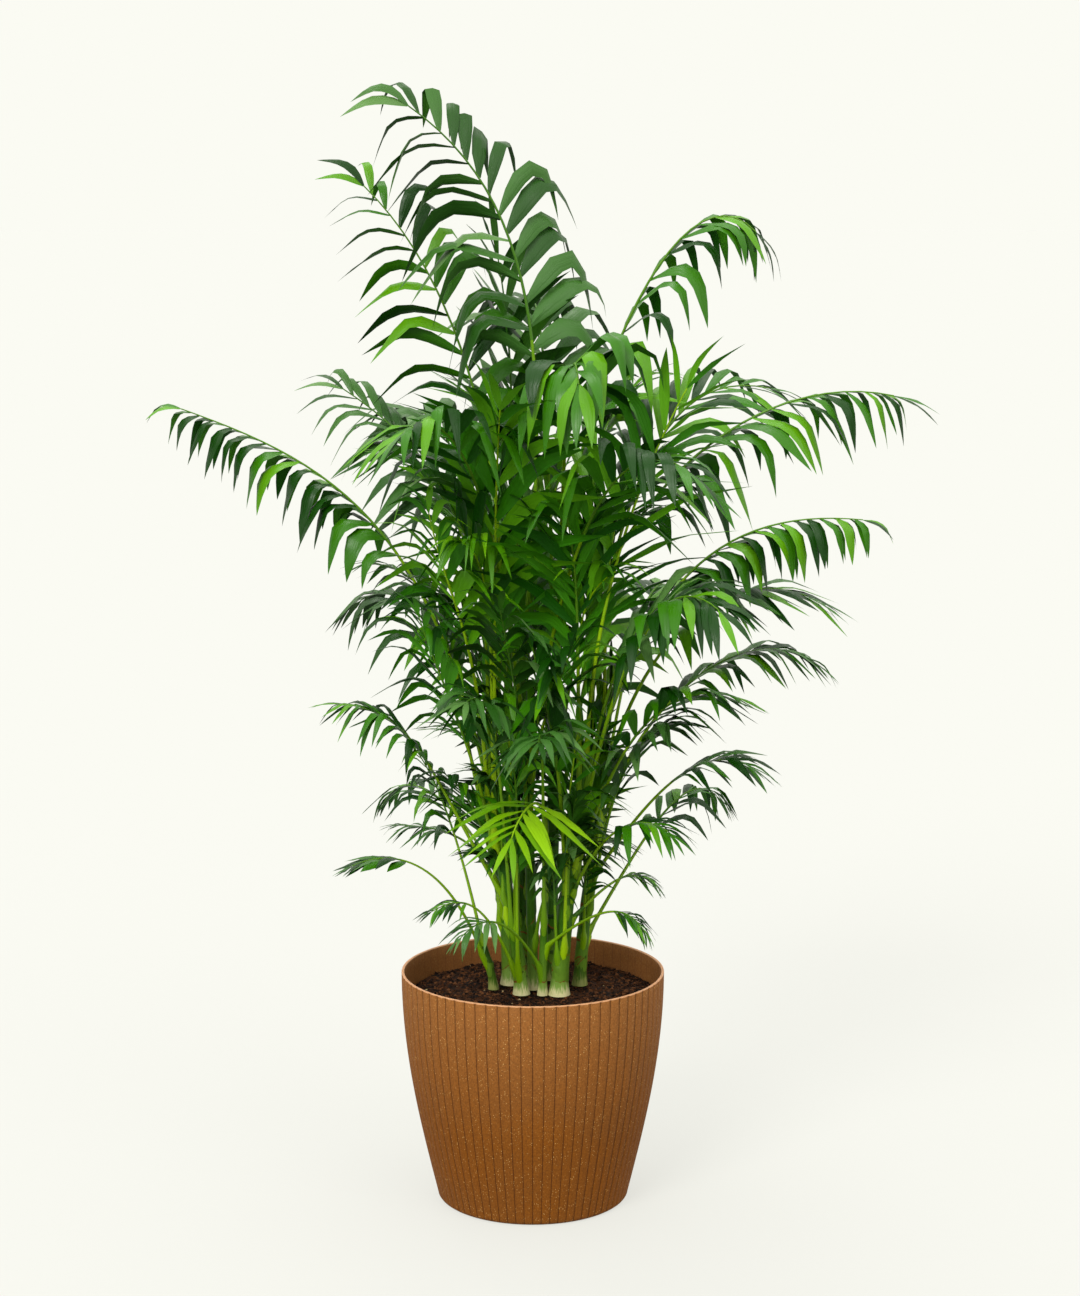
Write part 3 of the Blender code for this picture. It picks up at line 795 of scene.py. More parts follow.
@dataclass
class PottingSoil:
    """The soil: an uneven bed with crumbs, shreds of fibre and a few pale bits on it.

    waves holds the lumps to a metre, the place in the noise and the share of the swell of each
    layer of the bed's relief. Past edge_start of its radius the bed dips by edge_dip.
    """

    radius: float = 0.1415
    depth: float = 0.022
    corners: int = 144
    insets: int = 34
    swell: float = 0.0065
    waves: tuple[tuple[float, float, float], ...] = ((22.0, 3.0, 0.5), (90.0, 8.0, 0.35), (260.0, 1.0, 0.22))
    edge_start: float = 0.8
    edge_dip: float = 0.02
    crumbs: int = 1700
    crumb_sizes: tuple[float, float] = (0.0010, 0.0036)
    shreds: int = 3200
    shred_lengths: tuple[float, float] = (0.003, 0.011)
    shred_girths: tuple[float, float] = (0.00022, 0.0006)
    pale_bits: int = 34
    pale_sizes: tuple[float, float] = (0.0009, 0.0022)
    sunk: float = 0.003

    def build_bed(self) -> bpy.types.Object:
        """Draws a shallow puck, insets its top into rings and makes it uneven.

        Returns:
            The finished bed.
        """
        bed = Bench.circle("soil_bed", self.radius, SOIL_TOP - self.depth, self.corners, filled=True)
        Bench.draw(UP * (self.depth - self.sunk), UP * SOIL_TOP, 1.0)
        step = self.radius / (self.insets + 1)
        for _ in range(self.insets):
            bpy.ops.mesh.inset(thickness=step, use_even_offset=False)
        bpy.ops.mesh.poke()
        Bench.close(bed, 60.0)
        for vertex in bed.data.vertices:
            if vertex.co.z > SOIL_TOP - self.depth / 2.0:
                vertex.co.z += self.relief(vertex.co.x, vertex.co.y)
        return bed

    def relief(self, across: float, away: float) -> float:
        """The height of the bed over its level.

        Args:
            across: The place along X.
            away: The place along Y.

        Returns:
            The height, in metres.
        """
        rough = sum(
            share * noise(Vector((across * scale, away * scale, layer))) for scale, layer, share in self.waves
        )
        edge = max(0.0, math.hypot(across, away) / self.radius - self.edge_start)
        return self.swell * rough - self.edge_dip * edge**2

    def surface(self, rng: random.Random) -> Vector:
        """A place on the bed, dealt evenly.

        Args:
            rng: The seeded source of chance.

        Returns:
            The place.
        """
        reach = (self.radius - 0.002) * math.sqrt(rng.random())
        angle = rng.random() * math.tau
        across, away = reach * math.cos(angle), reach * math.sin(angle)
        return Vector((across, away, SOIL_TOP - self.sunk + self.relief(across, away)))

    def build_litter(self) -> bpy.types.Object:
        """Scatters crumbs and shreds over the bed.

        Returns:
            The joined litter.
        """
        rng = random.Random(11)
        heap = Heap()
        for index in range(self.crumbs):
            size = rng.uniform(*self.crumb_sizes)
            self.add_crumb(heap, rng, self.surface(rng), size, index % 3)
        for index in range(self.shreds):
            self.add_shred(heap, rng, self.surface(rng), rng.uniform(*self.shred_lengths), index % 3)
        for _ in range(self.pale_bits):
            self.add_crumb(heap, rng, self.surface(rng), rng.uniform(*self.pale_sizes), 3)
        shades = (tone(28, 15, 9), tone(66, 39, 22), tone(98, 62, 38), tone(200, 172, 125))
        finishes = [RoughEarth(f"litter_{i}", shade, shade).make() for i, shade in enumerate(shades)]
        return heap.piece("soil_litter", finishes, 30.0)

    def add_crumb(self, heap: Heap, rng: random.Random, place: Vector, size: float, shade: int) -> None:
        """Adds one lump of eight faces.

        Args:
            heap: Where it goes.
            rng: The seeded source of chance.
            place: Its middle.
            size: Its radius.
            shade: Its finish.
        """
        turn = Matrix.Rotation(rng.random() * math.tau, 3, Vector((rng.random(), rng.random(), 1.0)))
        ends = [turn @ Vector(axis) * size * rng.uniform(0.6, 1.3) for axis in OCTAHEDRON]
        points = np.array([place + end for end in ends])
        heap.add(points, OCTAHEDRON_FACES, [shade] * 8, np.zeros((6, 2)))

    def add_shred(self, heap: Heap, rng: random.Random, place: Vector, length: float, shade: int) -> None:
        """Adds one bent three-sided fibre that lies on the bed.

        Args:
            heap: Where it goes.
            rng: The seeded source of chance.
            place: Its middle.
            length: Its length.
            shade: Its finish.
        """
        angle = rng.random() * math.tau
        heading = Vector((math.cos(angle), math.sin(angle), rng.uniform(-0.35, 0.35))) * length / 2.0
        bend = Vector((-heading.y, heading.x, length * 0.15)) * rng.uniform(-0.4, 0.4)
        middle = place + Vector((0.0, 0.0, 0.0008))
        path = [middle - heading, middle + bend, middle + heading]
        girth = rng.uniform(*self.shred_girths)
        points, places = tube_points(path, (girth * 0.4, girth, girth * 0.3), 3)
        heap.add(points, SHRED_FACES, [shade] * len(SHRED_FACES), places)

    def dress(self, bed: bpy.types.Object) -> None:
        """Gives the bed its finish."""
        bed.data.materials.append(RoughEarth("soil", tone(18, 10, 6), tone(70, 41, 23)).make())


OCTAHEDRON = ((1, 0, 0), (0, 1, 0), (-1, 0, 0), (0, -1, 0), (0, 0, 1), (0, 0, -1))
OCTAHEDRON_FACES = [(0, 1, 4), (1, 2, 4), (2, 3, 4), (3, 0, 4), (1, 0, 5), (2, 1, 5), (3, 2, 5), (0, 3, 5)]
SHRED_FACES = tube_faces(3, 3)


@dataclass(frozen=True)
class Cane:
    """One cane: where its foot stands, where its tip ends, and its radii."""

    name: str
    foot: tuple[float, float]
    tip: tuple[float, float, float]
    foot_radius: float
    tip_radius: float

    FLARE = 1.35
    FLARE_HEIGHT = 0.030
    BOW = 1.4
    FOOT_HEIGHT = SOIL_TOP + GAP

    def point(self, height: float) -> Vector:
        """Finds the middle of the cane, which stands upright at its foot and bows out above.

        Args:
            height: The height.

        Returns:
            The point at this height.
        """
        share = max(0.0, (height - self.FOOT_HEIGHT) / (self.tip[2] - self.FOOT_HEIGHT))
        bow = share**self.BOW
        across = self.foot[0] + (self.tip[0] - self.foot[0]) * bow
        return Vector((across, self.foot[1] + (self.tip[1] - self.foot[1]) * bow, height))

    def radius(self, height: float) -> float:
        """Works out the cane's radius, with the flare of its foot.

        Args:
            height: The height.

        Returns:
            The radius at this height.
        """
        share = (height - self.FOOT_HEIGHT) / (self.tip[2] - self.FOOT_HEIGHT)
        radius = self.foot_radius + (self.tip_radius - self.foot_radius) * share
        flare = max(0.0, 1.0 - (height - self.FOOT_HEIGHT) / self.FLARE_HEIGHT)
        return radius * (1.0 + (self.FLARE - 1.0) * flare**2)


CANES = (
    Cane("left", (-0.026, 0.030), (-0.046, 0.040, 0.540), 0.0090, 0.0048),
    Cane("pale", (-0.013, -0.012), (-0.050, -0.026, 0.460), 0.0075, 0.0042),
    Cane("slim", (0.000, 0.008), (-0.012, 0.006, 0.620), 0.0058, 0.0040),
    Cane("young", (0.011, -0.016), (0.014, -0.024, 0.360), 0.0048, 0.0036),
    Cane("stout", (0.030, -0.014), (0.060, -0.030, 0.520), 0.0095, 0.0048),
    Cane("back", (0.020, 0.050), (0.030, 0.068, 0.660), 0.0080, 0.0046),
    Cane("rear", (-0.010, 0.072), (-0.024, 0.100, 0.500), 0.0075, 0.0044),
    Cane("right", (0.054, 0.026), (0.078, 0.043, 0.460), 0.0070, 0.0042),
    Cane("sprig", (-0.045, 0.008), (-0.058, 0.004, 0.300), 0.0048, 0.0034),
)


@dataclass(frozen=True)
class Frond:
    """One frond: the cane and height it leaves, its tip round the pot's axis, and how it bends.

    azimuth and reach place the tip round the pot's axis. lean is the rib's first angle from
    upright and dip its last angle below level. rise is the share of the way that it keeps its
    first direction, and bare the share that has no leaflets. roll turns the rib's faces about
    it, lift is the angle at which leaflets stand out of its upper face, droop how far they then
    bend, breadth their width as a share of their length, and sweep how much further than on
    other fronds they point along the rib.
    """

    name: str
    cane: str
    attach: float
    azimuth: float
    reach: float
    height: float
    lean: float
    dip: float
    rise: float
    bare: float = 0.42
    pairs: int = 8
    leaflet: float = 0.150
    droop: float = 35
    roll: float = 0
    tint: Tint = Tint.GREEN
    lift: float = 4
    breadth: float = 0.125
    sweep: float = 0

    def tip(self) -> Vector:
        """Where the frond's rib ends."""
        angle = math.radians(self.azimuth)
        return Vector((self.reach * math.cos(angle), self.reach * math.sin(angle), self.height))


FRONDS = (
    # Tall fronds of the outline, from the top to either side
    Frond(
        "top_left", "slim", 0.62, 188, 0.136, 1.234, -6, -34, 0.5,
        0.42, 10, 0.16, 46, -82, Tint.DEEP, -10, 0.145, -14,
    ),
    Frond(
        "upper_left", "left", 0.54, 168, 0.191, 1.149, -9, -44, 0.33,
        0.46, 10, 0.125, 34, -80, Tint.GREEN, -8, 0.14, -12,
    ),
    Frond("top_middle", "rear", 0.5, 112, 0.105, 1.069, 2, -80, 0.5, 0.45, 6, 0.16, 8, 24, Tint.DEEP),
    Frond(
        "top_right", "back", 0.66, 12, 0.255, 1.098, -4, 46, 0.32,
        0.26, 10, 0.13, 56, 24, Tint.GREEN, -10, 0.15,
    ),
    Frond(
        "top_front", "back", 0.6, -76, 0.2, 0.944, 10, 40, 0.55,
        0.4, 7, 0.165, 60, 34, Tint.GREEN, 10, 0.16,
    ),
    Frond(
        "long_left", "left", 0.44, 177, 0.392, 0.904, 11, -20, 0.6,
        0.4, 11, 0.1, 72, -18, Tint.GREEN, -16, 0.2,
    ),
    Frond("shoulder_left", "rear", 0.44, 149, 0.255, 0.919, 6, -32, 0.6, 0.46, 9, 0.13, 34, -40, Tint.DEEP),
    Frond(
        "long_right", "back", 0.52, 4, 0.404, 0.918, 5, 12, 0.5,
        0.36, 12, 0.125, 50, 18, Tint.GREEN, -14, 0.15,
    ),
    Frond(
        "second_right", "stout", 0.46, -14, 0.368, 0.792, 12, 4, 0.65,
        0.42, 11, 0.09, 80, 12, lift=-20, breadth=0.2,
    ),
    Frond(
        "bright", "stout", 0.52, -20, 0.178, 0.932, 2, -61, 0.36,
        0.32, 7, 0.155, 14, -70, Tint.BRIGHT, 4, 0.09,
    ),
    # The left side, downwards
    Frond("left_inner", "pale", 0.46, 222, 0.15, 0.801, 4, -74, 0.6, 0.4, 8, 0.12, 24, 0, Tint.BRIGHT),
    Frond("left_middle", "left", 0.38, 150, 0.2, 0.719, 20, -10, 0.5, 0.4, 9, 0.11, 30),
    Frond("left_front", "pale", 0.41, 219, 0.158, 0.687, 12, -68, 0.4, 0.4, 8, 0.115, 30),
    Frond("lower_left", "pale", 0.36, 191, 0.212, 0.581, 30, -10, 0.6, 0.45, 9, 0.088, 34),
    Frond("sprig_left", "sprig", 0.3, 156, 0.147, 0.509, 17, -46, 0.3, 0.5, 6, 0.065, 45),
    Frond("low_left", "sprig", 0.282, 194, 0.208, 0.399, 20, 20, 0.6, 0.6, 5, 0.05, 16, breadth=0.28),
    Frond("low_left_back", "left", 0.34, 162, 0.161, 0.423, 10, 0, 0.55, 0.5, 6, 0.055, 30, 0, Tint.DEEP),
    Frond("rim_left", "pale", 0.275, 212, 0.132, 0.352, 24, 20, 0.75, 0.55, 5, 0.048, 30),
    # The right side, downwards
    Frond("right_middle", "right", 0.46, -2, 0.305, 0.698, 12, 20, 0.55, 0.4, 9, 0.13, 26),
    Frond("right_low_long", "right", 0.42, 11, 0.322, 0.615, 14, 30, 0.5, 0.42, 10, 0.1, 34),
    Frond("right_low", "right", 0.37, -5, 0.239, 0.509, 34, 20, 0.42, 0.5, 7, 0.1, 24, breadth=0.12),
    Frond("rim_right", "stout", 0.33, -8, 0.139, 0.37, 42, 40, 0.75, 0.45, 9, 0.042, 30),
    Frond("rim_right_front", "young", 0.3, -32, 0.148, 0.33, 50, 50, 0.75, 0.5, 7, 0.045, 40),
    # The front
    Frond("lime", "young", 0.36, -97, 0.181, 0.461, -24, 30, 0.8, 0.5, 5, 0.13, 16, -10, Tint.LIME, 4, 0.1),
    Frond("front_high_left", "slim", 0.56, 236, 0.24, 0.894, 12, 20, 0.55, 0.4, 9, 0.15, 36, 26),
    Frond("front_high_right", "slim", 0.5, -54, 0.27, 0.858, 12, 20, 0.55, 0.42, 9, 0.15, 36, -24),
    Frond("front_right", "stout", 0.41, -50, 0.3, 0.714, 16, 24, 0.55, 0.42, 9, 0.13, 36, 22),
    Frond("front_left", "pale", 0.32, 249, 0.192, 0.609, 12, 4, 0.55, 0.45, 7, 0.1, 30, -20, Tint.DEEP),
    Frond("front_middle", "young", 0.33, 272, 0.2, 0.569, 6, 10, 0.6, 0.5, 7, 0.1, 30, 14, Tint.DEEP),
    Frond("front_low_right", "stout", 0.36, -39, 0.19, 0.454, 24, 24, 0.5, 0.5, 6, 0.08, 30),
    Frond("front_low", "young", 0.275, 237, 0.143, 0.336, 36, 30, 0.6, 0.55, 5, 0.055, 36, 0, Tint.DEEP),
    # The dense middle
    Frond("core_right", "stout", 0.49, -24, 0.2, 0.72, 10, -16, 0.5, 0.4, 8, 0.125, 28, 20, Tint.DEEP),
    Frond("core_right_low", "stout", 0.385, -28, 0.235, 0.604, 16, 4, 0.5, 0.42, 8, 0.115, 28, -16),
    Frond("core_middle", "slim", 0.44, -70, 0.13, 0.666, 6, -58, 0.5, 0.42, 7, 0.125, 28, 24),
    Frond("core_left", "slim", 0.4, 254, 0.125, 0.698, 6, -56, 0.5, 0.42, 8, 0.125, 28, -20, Tint.DEEP),
    Frond(
        "core_low_right", "right", 0.33, -22, 0.16, 0.564, 12, -30, 0.5,
        0.42, 8, 0.11, 28, 12, Tint.DEEP,
    ),
    Frond("core_low_left", "left", 0.33, 212, 0.113, 0.505, 16, -34, 0.5, 0.42, 7, 0.085, 28),
    Frond("core_low", "slim", 0.3, -50, 0.085, 0.434, 10, -50, 0.5, 0.42, 6, 0.08, 28, 0, Tint.DEEP),
    Frond("core_back_low", "back", 0.32, 48, 0.135, 0.394, 14, 10, 0.5, 0.42, 6, 0.08, 34, 0, Tint.DEEP),
    Frond("core_back", "back", 0.5, 97, 0.121, 0.722, 6, -60, 0.5, 0.42, 8, 0.13, 28, 0, Tint.DEEP),
    # The back
    Frond("back_high", "back", 0.56, 92, 0.26, 1.014, 8, 20, 0.55, 0.42, 8, 0.155, 40, 0, Tint.DEEP),
    Frond("back_high_right", "back", 0.44, 28, 0.31, 0.919, 12, 12, 0.6, 0.45, 9, 0.14, 30, 20),
    Frond("back_high_left", "rear", 0.4, 122, 0.31, 0.874, 14, 26, 0.6, 0.45, 8, 0.15, 40, 0, Tint.DEEP),
    Frond("back_middle", "back", 0.46, 98, 0.4, 0.754, 18, 34, 0.55, 0.42, 10, 0.14, 45),
    Frond("back_right", "right", 0.34, 62, 0.37, 0.654, 22, 34, 0.55, 0.42, 8, 0.13, 40),
    Frond("back_left", "rear", 0.35, 132, 0.31, 0.659, 18, 30, 0.55, 0.42, 8, 0.13, 40, 0, Tint.DEEP),
    Frond("back_low", "back", 0.38, 84, 0.29, 0.474, 32, 40, 0.5, 0.42, 8, 0.11, 40),
    Frond("back_low_right", "right", 0.3, 36, 0.27, 0.434, 40, 40, 0.5, 0.42, 7, 0.09, 40),
    Frond("back_low_left", "rear", 0.31, 128, 0.28, 0.424, 36, 40, 0.5, 0.42, 7, 0.09, 40),
)


@dataclass
class InnerFronds:
    """Close, steep fronds that fill the clump's middle or its foot, dealt evenly round it.

    first_turn is the lowest one's azimuth and turn the angle from each to the next. A pair of
    sizes holds the lowest frond's and the highest's, except breadths, which holds the two ends
    between which each is dealt.
    """

    count: int = 23
    first_turn: float = 250.0
    turn: float = 137.5
    heights: tuple[float, float] = (0.50, 0.93)
    reaches: tuple[float, float] = (0.060, 0.150)
    leaflets: tuple[float, float] = (0.090, 0.170)
    attaches: tuple[float, float] = (0.285, 0.560)
    tints: tuple[Tint, ...] = (Tint.GREEN, Tint.BRIGHT, Tint.GREEN, Tint.BRIGHT)
    breadths: tuple[float, float] = (0.07, 0.11)
    group: str = "inner"

    def deal(self) -> list[Frond]:
        """Deals the fronds, each to a cane that stands on its side of the clump.

        Returns:
            Their sizes, upwards.
        """
        rng = random.Random(5)
        dealt = []
        for index in range(self.count):
            share = (index + 0.5) / self.count
            azimuth = self.first_turn + self.turn * index
            cane = self.cane(azimuth, share)
            attach = min(self.between(self.attaches, share), cane.tip[2] - 0.02) - rng.uniform(0.0, 0.03)
            dealt.append(
                Frond(
                    name=f"{self.group}_{index}",
                    cane=cane.name,
                    attach=attach,
                    azimuth=azimuth,
                    reach=self.between(self.reaches, share**0.7) * rng.uniform(0.75, 1.15),
                    height=self.between(self.heights, share) + rng.uniform(-0.02, 0.02),
                    lean=rng.uniform(2, 9),
                    dip=rng.uniform(-66, -20),
                    rise=rng.uniform(0.45, 0.6),
                    bare=rng.uniform(0.32, 0.42),
                    pairs=6 + round(3 * share),
                    leaflet=self.between(self.leaflets, share**0.7) * rng.uniform(0.85, 1.1),
                    droop=rng.uniform(6, 34),
                    roll=rng.uniform(-50, 50),
                    tint=self.tints[index % len(self.tints)],
                    lift=rng.uniform(0, 14),
                    breadth=rng.uniform(*self.breadths),
                    sweep=rng.uniform(0, 20),
                )
            )
        return dealt

    @staticmethod
    def between(ends: tuple[float, float], share: float) -> float:
        """The value at this share of the way from one end to the other."""
        return ends[0] + (ends[1] - ends[0]) * share

    @staticmethod
    def cane(azimuth: float, share: float) -> Cane:
        """Finds the cane whose foot lies furthest out on this side, tall enough for the frond.

        Args:
            azimuth: The side, in degrees.
            share: How high up the clump the frond ends.

        Returns:
            The cane.
        """
        angle = math.radians(azimuth)
        tall = [cane for cane in CANES if cane.tip[2] > 0.34 + 0.12 * share]
        return max(tall, key=lambda cane: cane.foot[0] * math.cos(angle) + cane.foot[1] * math.sin(angle))


LOW_FRONDS = InnerFronds(
    count=12,
    first_turn=285.0,
    heights=(0.39, 0.52),
    reaches=(0.045, 0.085),
    leaflets=(0.050, 0.075),
    attaches=(0.305, 0.380),
    tints=(Tint.DEEP, Tint.GREEN),
    breadths=(0.12, 0.18),
    group="low",
)


class Rib:
    """The curve of a frond's rib in world space, with the frame that its leaflets stand in."""

    TIP_HANDLE = 0.30
    TANGENT_STEP = 0.002
    HALF_BLADE = 0.0011

    def __init__(self, frond: Frond, cane: Cane) -> None:
        """Lays the curve from its cane to its tip.

        Args:
            frond: The frond's sizes.
            cane: The cane that it leaves.
        """
        centre = cane.point(frond.attach)
        heading = frond.tip() - centre
        heading.z = 0.0
        self.heading = heading.normalized()
        self.on_top = frond.attach >= cane.tip[2]
        side = 0.0 if self.on_top else cane.radius(frond.attach) + GAP + self.HALF_BLADE
        self.foot = centre + self.heading * side
        span = frond.tip() - self.foot
        lean, dip = math.radians(frond.lean), math.radians(frond.dip)
        first = self.heading * math.sin(lean) + UP * math.cos(lean)
        last = self.heading * math.cos(dip) - UP * math.sin(dip)
        self.points = (
            self.foot,
            self.foot + first * frond.rise * span.length,
            frond.tip() - last * self.TIP_HANDLE * span.length,
            frond.tip(),
        )
        self.roll = math.radians(frond.roll)
        self.bare = frond.bare
        self.length = span.length

    def place(self, share: float) -> Vector:
        """Finds a point of the curve.

        Args:
            share: The share of the curve that lies before it.

        Returns:
            The point.
        """
        rest = 1.0 - share
        weights = (rest**3, 3 * rest**2 * share, 3 * rest * share**2, share**3)
        return sum((point * weight for point, weight in zip(self.points, weights)), Vector())

    def axes(self, share: float) -> tuple[Vector, Vector, Vector]:
        """Finds the directions of the rib.

        Args:
            share: The share of the curve.

        Returns:
            The directions along the rib, to its right and out of its upper face.
        """
        before = self.place(max(0.0, share - self.TANGENT_STEP))
        along = (self.place(min(1.0, share + self.TANGENT_STEP)) - before).normalized()
        turned = self.roll * min(1.0, share / self.bare)
        side = self.heading.cross(UP)
        right = Matrix.Rotation(turned, 3, along) @ side
        return along, right, right.cross(along)


@dataclass(frozen=True)
class Growth:
    """How one leaflet grows: where from, which way, how large and how it bends.

    hinge is the share of its length that stays straight, snap the share in which it then bends,
    and level how far its foot already faces up.
    """

    foot: Vector
    start: Vector
    across: Vector
    length: float
    width: float
    droop: float
    fold: float
    twist: float
    curl: float
    hinge: float
    snap: float
    level: float
    shade: int


class LeafletShape:
    """The shape that all leaflets share: a thin closed blade, folded along its middle.

    STATIONS are the shares of its length at which it has a ring of corners: its left edge, its
    middle, its right edge and its underside. Past its WIDEST it narrows to a long tip.
    """

    STATIONS = (0.0, 0.08, 0.20, 0.34, 0.48, 0.62, 0.76, 0.89)
    SIDES = 4
    FOOT_WIDTH = 0.22
    WIDEST = 0.40
    THICKNESS = 0.0005
    WAVE = 0.12
    MOST_DROOP = 0.94
    BLADE_SHADES = 3

    def __init__(self) -> None:
        """Works out the faces once, with the same diagonals above and below."""
        rings = len(self.STATIONS)
        self.faces: list[Face] = [tuple(range(self.SIDES - 1, -1, -1))]
        for ring in range(rings - 1):
            for side in range(self.SIDES):
                self.faces.extend(self.pair(ring, side))
        last, tip = (rings - 1) * self.SIDES, rings * self.SIDES
        for side in range(self.SIDES):
            self.faces.append((last + side, last + (side + 1) % self.SIDES, tip))

    def pair(self, ring: int, side: int) -> list[Face]:
        """Lists the two triangles between two corners of a ring and of the next.

        Args:
            ring: The ring.
            side: The first of the two corners.

        Returns:
            The triangles.
        """
        low, high = ring * self.SIDES, (ring + 1) * self.SIDES
        beside = (side + 1) % self.SIDES
        near, far, far_on, near_on = low + side, low + beside, high + beside, high + side
        if side % 2 == 0:
            return [(near, far, far_on), (near, far_on, near_on)]
        return [(near, far, near_on), (far, far_on, near_on)]

    def width(self, share: float) -> float:
        """Works out the blade's width, rounded before its widest place and pointed after it.

        Args:
            share: The share of its length.

        Returns:
            The width there, as a share of its greatest.
        """
        if share < self.WIDEST:
            swell = math.sin(math.pi / 2.0 * share / self.WIDEST)
            return self.FOOT_WIDTH + (1.0 - self.FOOT_WIDTH) * swell
        rest = (share - self.WIDEST) / (1.0 - self.WIDEST)
        return (1.0 - rest**1.7) ** 1.1

    def shades(self, blade: int) -> list[int]:
        """Lists the finish of each face: the blade's above and one of two others underneath.

        Args:
            blade: The blade's finish.

        Returns:
            The finishes, in the order of the faces.
        """
        under = self.BLADE_SHADES + blade % 2
        ring = [blade] * self.SIDES + [under] * self.SIDES
        last = [blade] * (self.SIDES // 2) + [under] * (self.SIDES // 2)
        return [blade, *(ring * (len(self.STATIONS) - 1)), *last]

    def points(self, growth: Growth, rng: random.Random) -> tuple[np.ndarray, np.ndarray]:
        """Bends the blade along its growth.

        Args:
            growth: How it grows.
            rng: The seeded source of chance.

        Returns:
            Its points, and their places across and along.
        """
        axis = growth.start.cross(DOWN)
        if axis.length < 0.15:
            axis = growth.across.copy()
        axis.normalize()
        toward = axis if growth.across.dot(axis) >= 0.0 else -axis
        droop = min(growth.droop, growth.start.angle(DOWN) * self.MOST_DROOP)
        centre = growth.foot.copy()
        points, places = [], []
        before = 0.0
        for share in (*self.STATIONS, 1.0):
            middle = (before + share) / 2.0
            centre = centre + self.heading(growth, axis, droop, middle) * growth.length * (share - before)
            before = share
            if share == 1.0:
                points.append(centre)
                places.append((0.5, 1.0))
                break
            along = self.heading(growth, axis, droop, share)
            bent = Matrix.Rotation(droop * self.bend(growth, share), 3, axis) @ growth.across
            across = bent.lerp(toward, min(0.9, growth.level + 0.4 * share))
            across = (across - along * across.dot(along)).normalized()
            across = Matrix.Rotation(growth.twist * share, 3, along) @ across
            normal = along.cross(across)
            half = growth.width * self.width(share) / 2.0
            fall = half * math.tan(growth.fold) * (1.0 - 0.6 * share)
            wave = half * self.WAVE * rng.uniform(-1.0, 1.0)
            points.append(centre - across * half - normal * (fall - wave))
            points.append(centre)
            points.append(centre + across * half - normal * (fall + wave))
            points.append(centre - normal * self.THICKNESS * (1.0 - 0.6 * share))
            places.extend(((0.0, share), (0.5, share), (1.0, share), (0.5, share)))
        return np.array(points), np.array(places)

    def bend(self, growth: Growth, share: float) -> float:
        """How much of the droop is reached at this share of the length."""
        fold = min(1.0, max(0.0, (share - growth.hinge) / growth.snap))
        return 0.8 * fold * fold * (3.0 - 2.0 * fold) + 0.2 * share

    def heading(self, growth: Growth, axis: Vector, droop: float, share: float) -> Vector:
        """The blade's direction.

        Args:
            growth: How it grows.
            axis: What it bends about.
            droop: How far it bends in all.
            share: The share of its length.

        Returns:
            The direction there.
        """
        bent = Matrix.Rotation(droop * self.bend(growth, share), 3, axis) @ growth.start
        return (bent + growth.across * growth.curl * share).normalized()


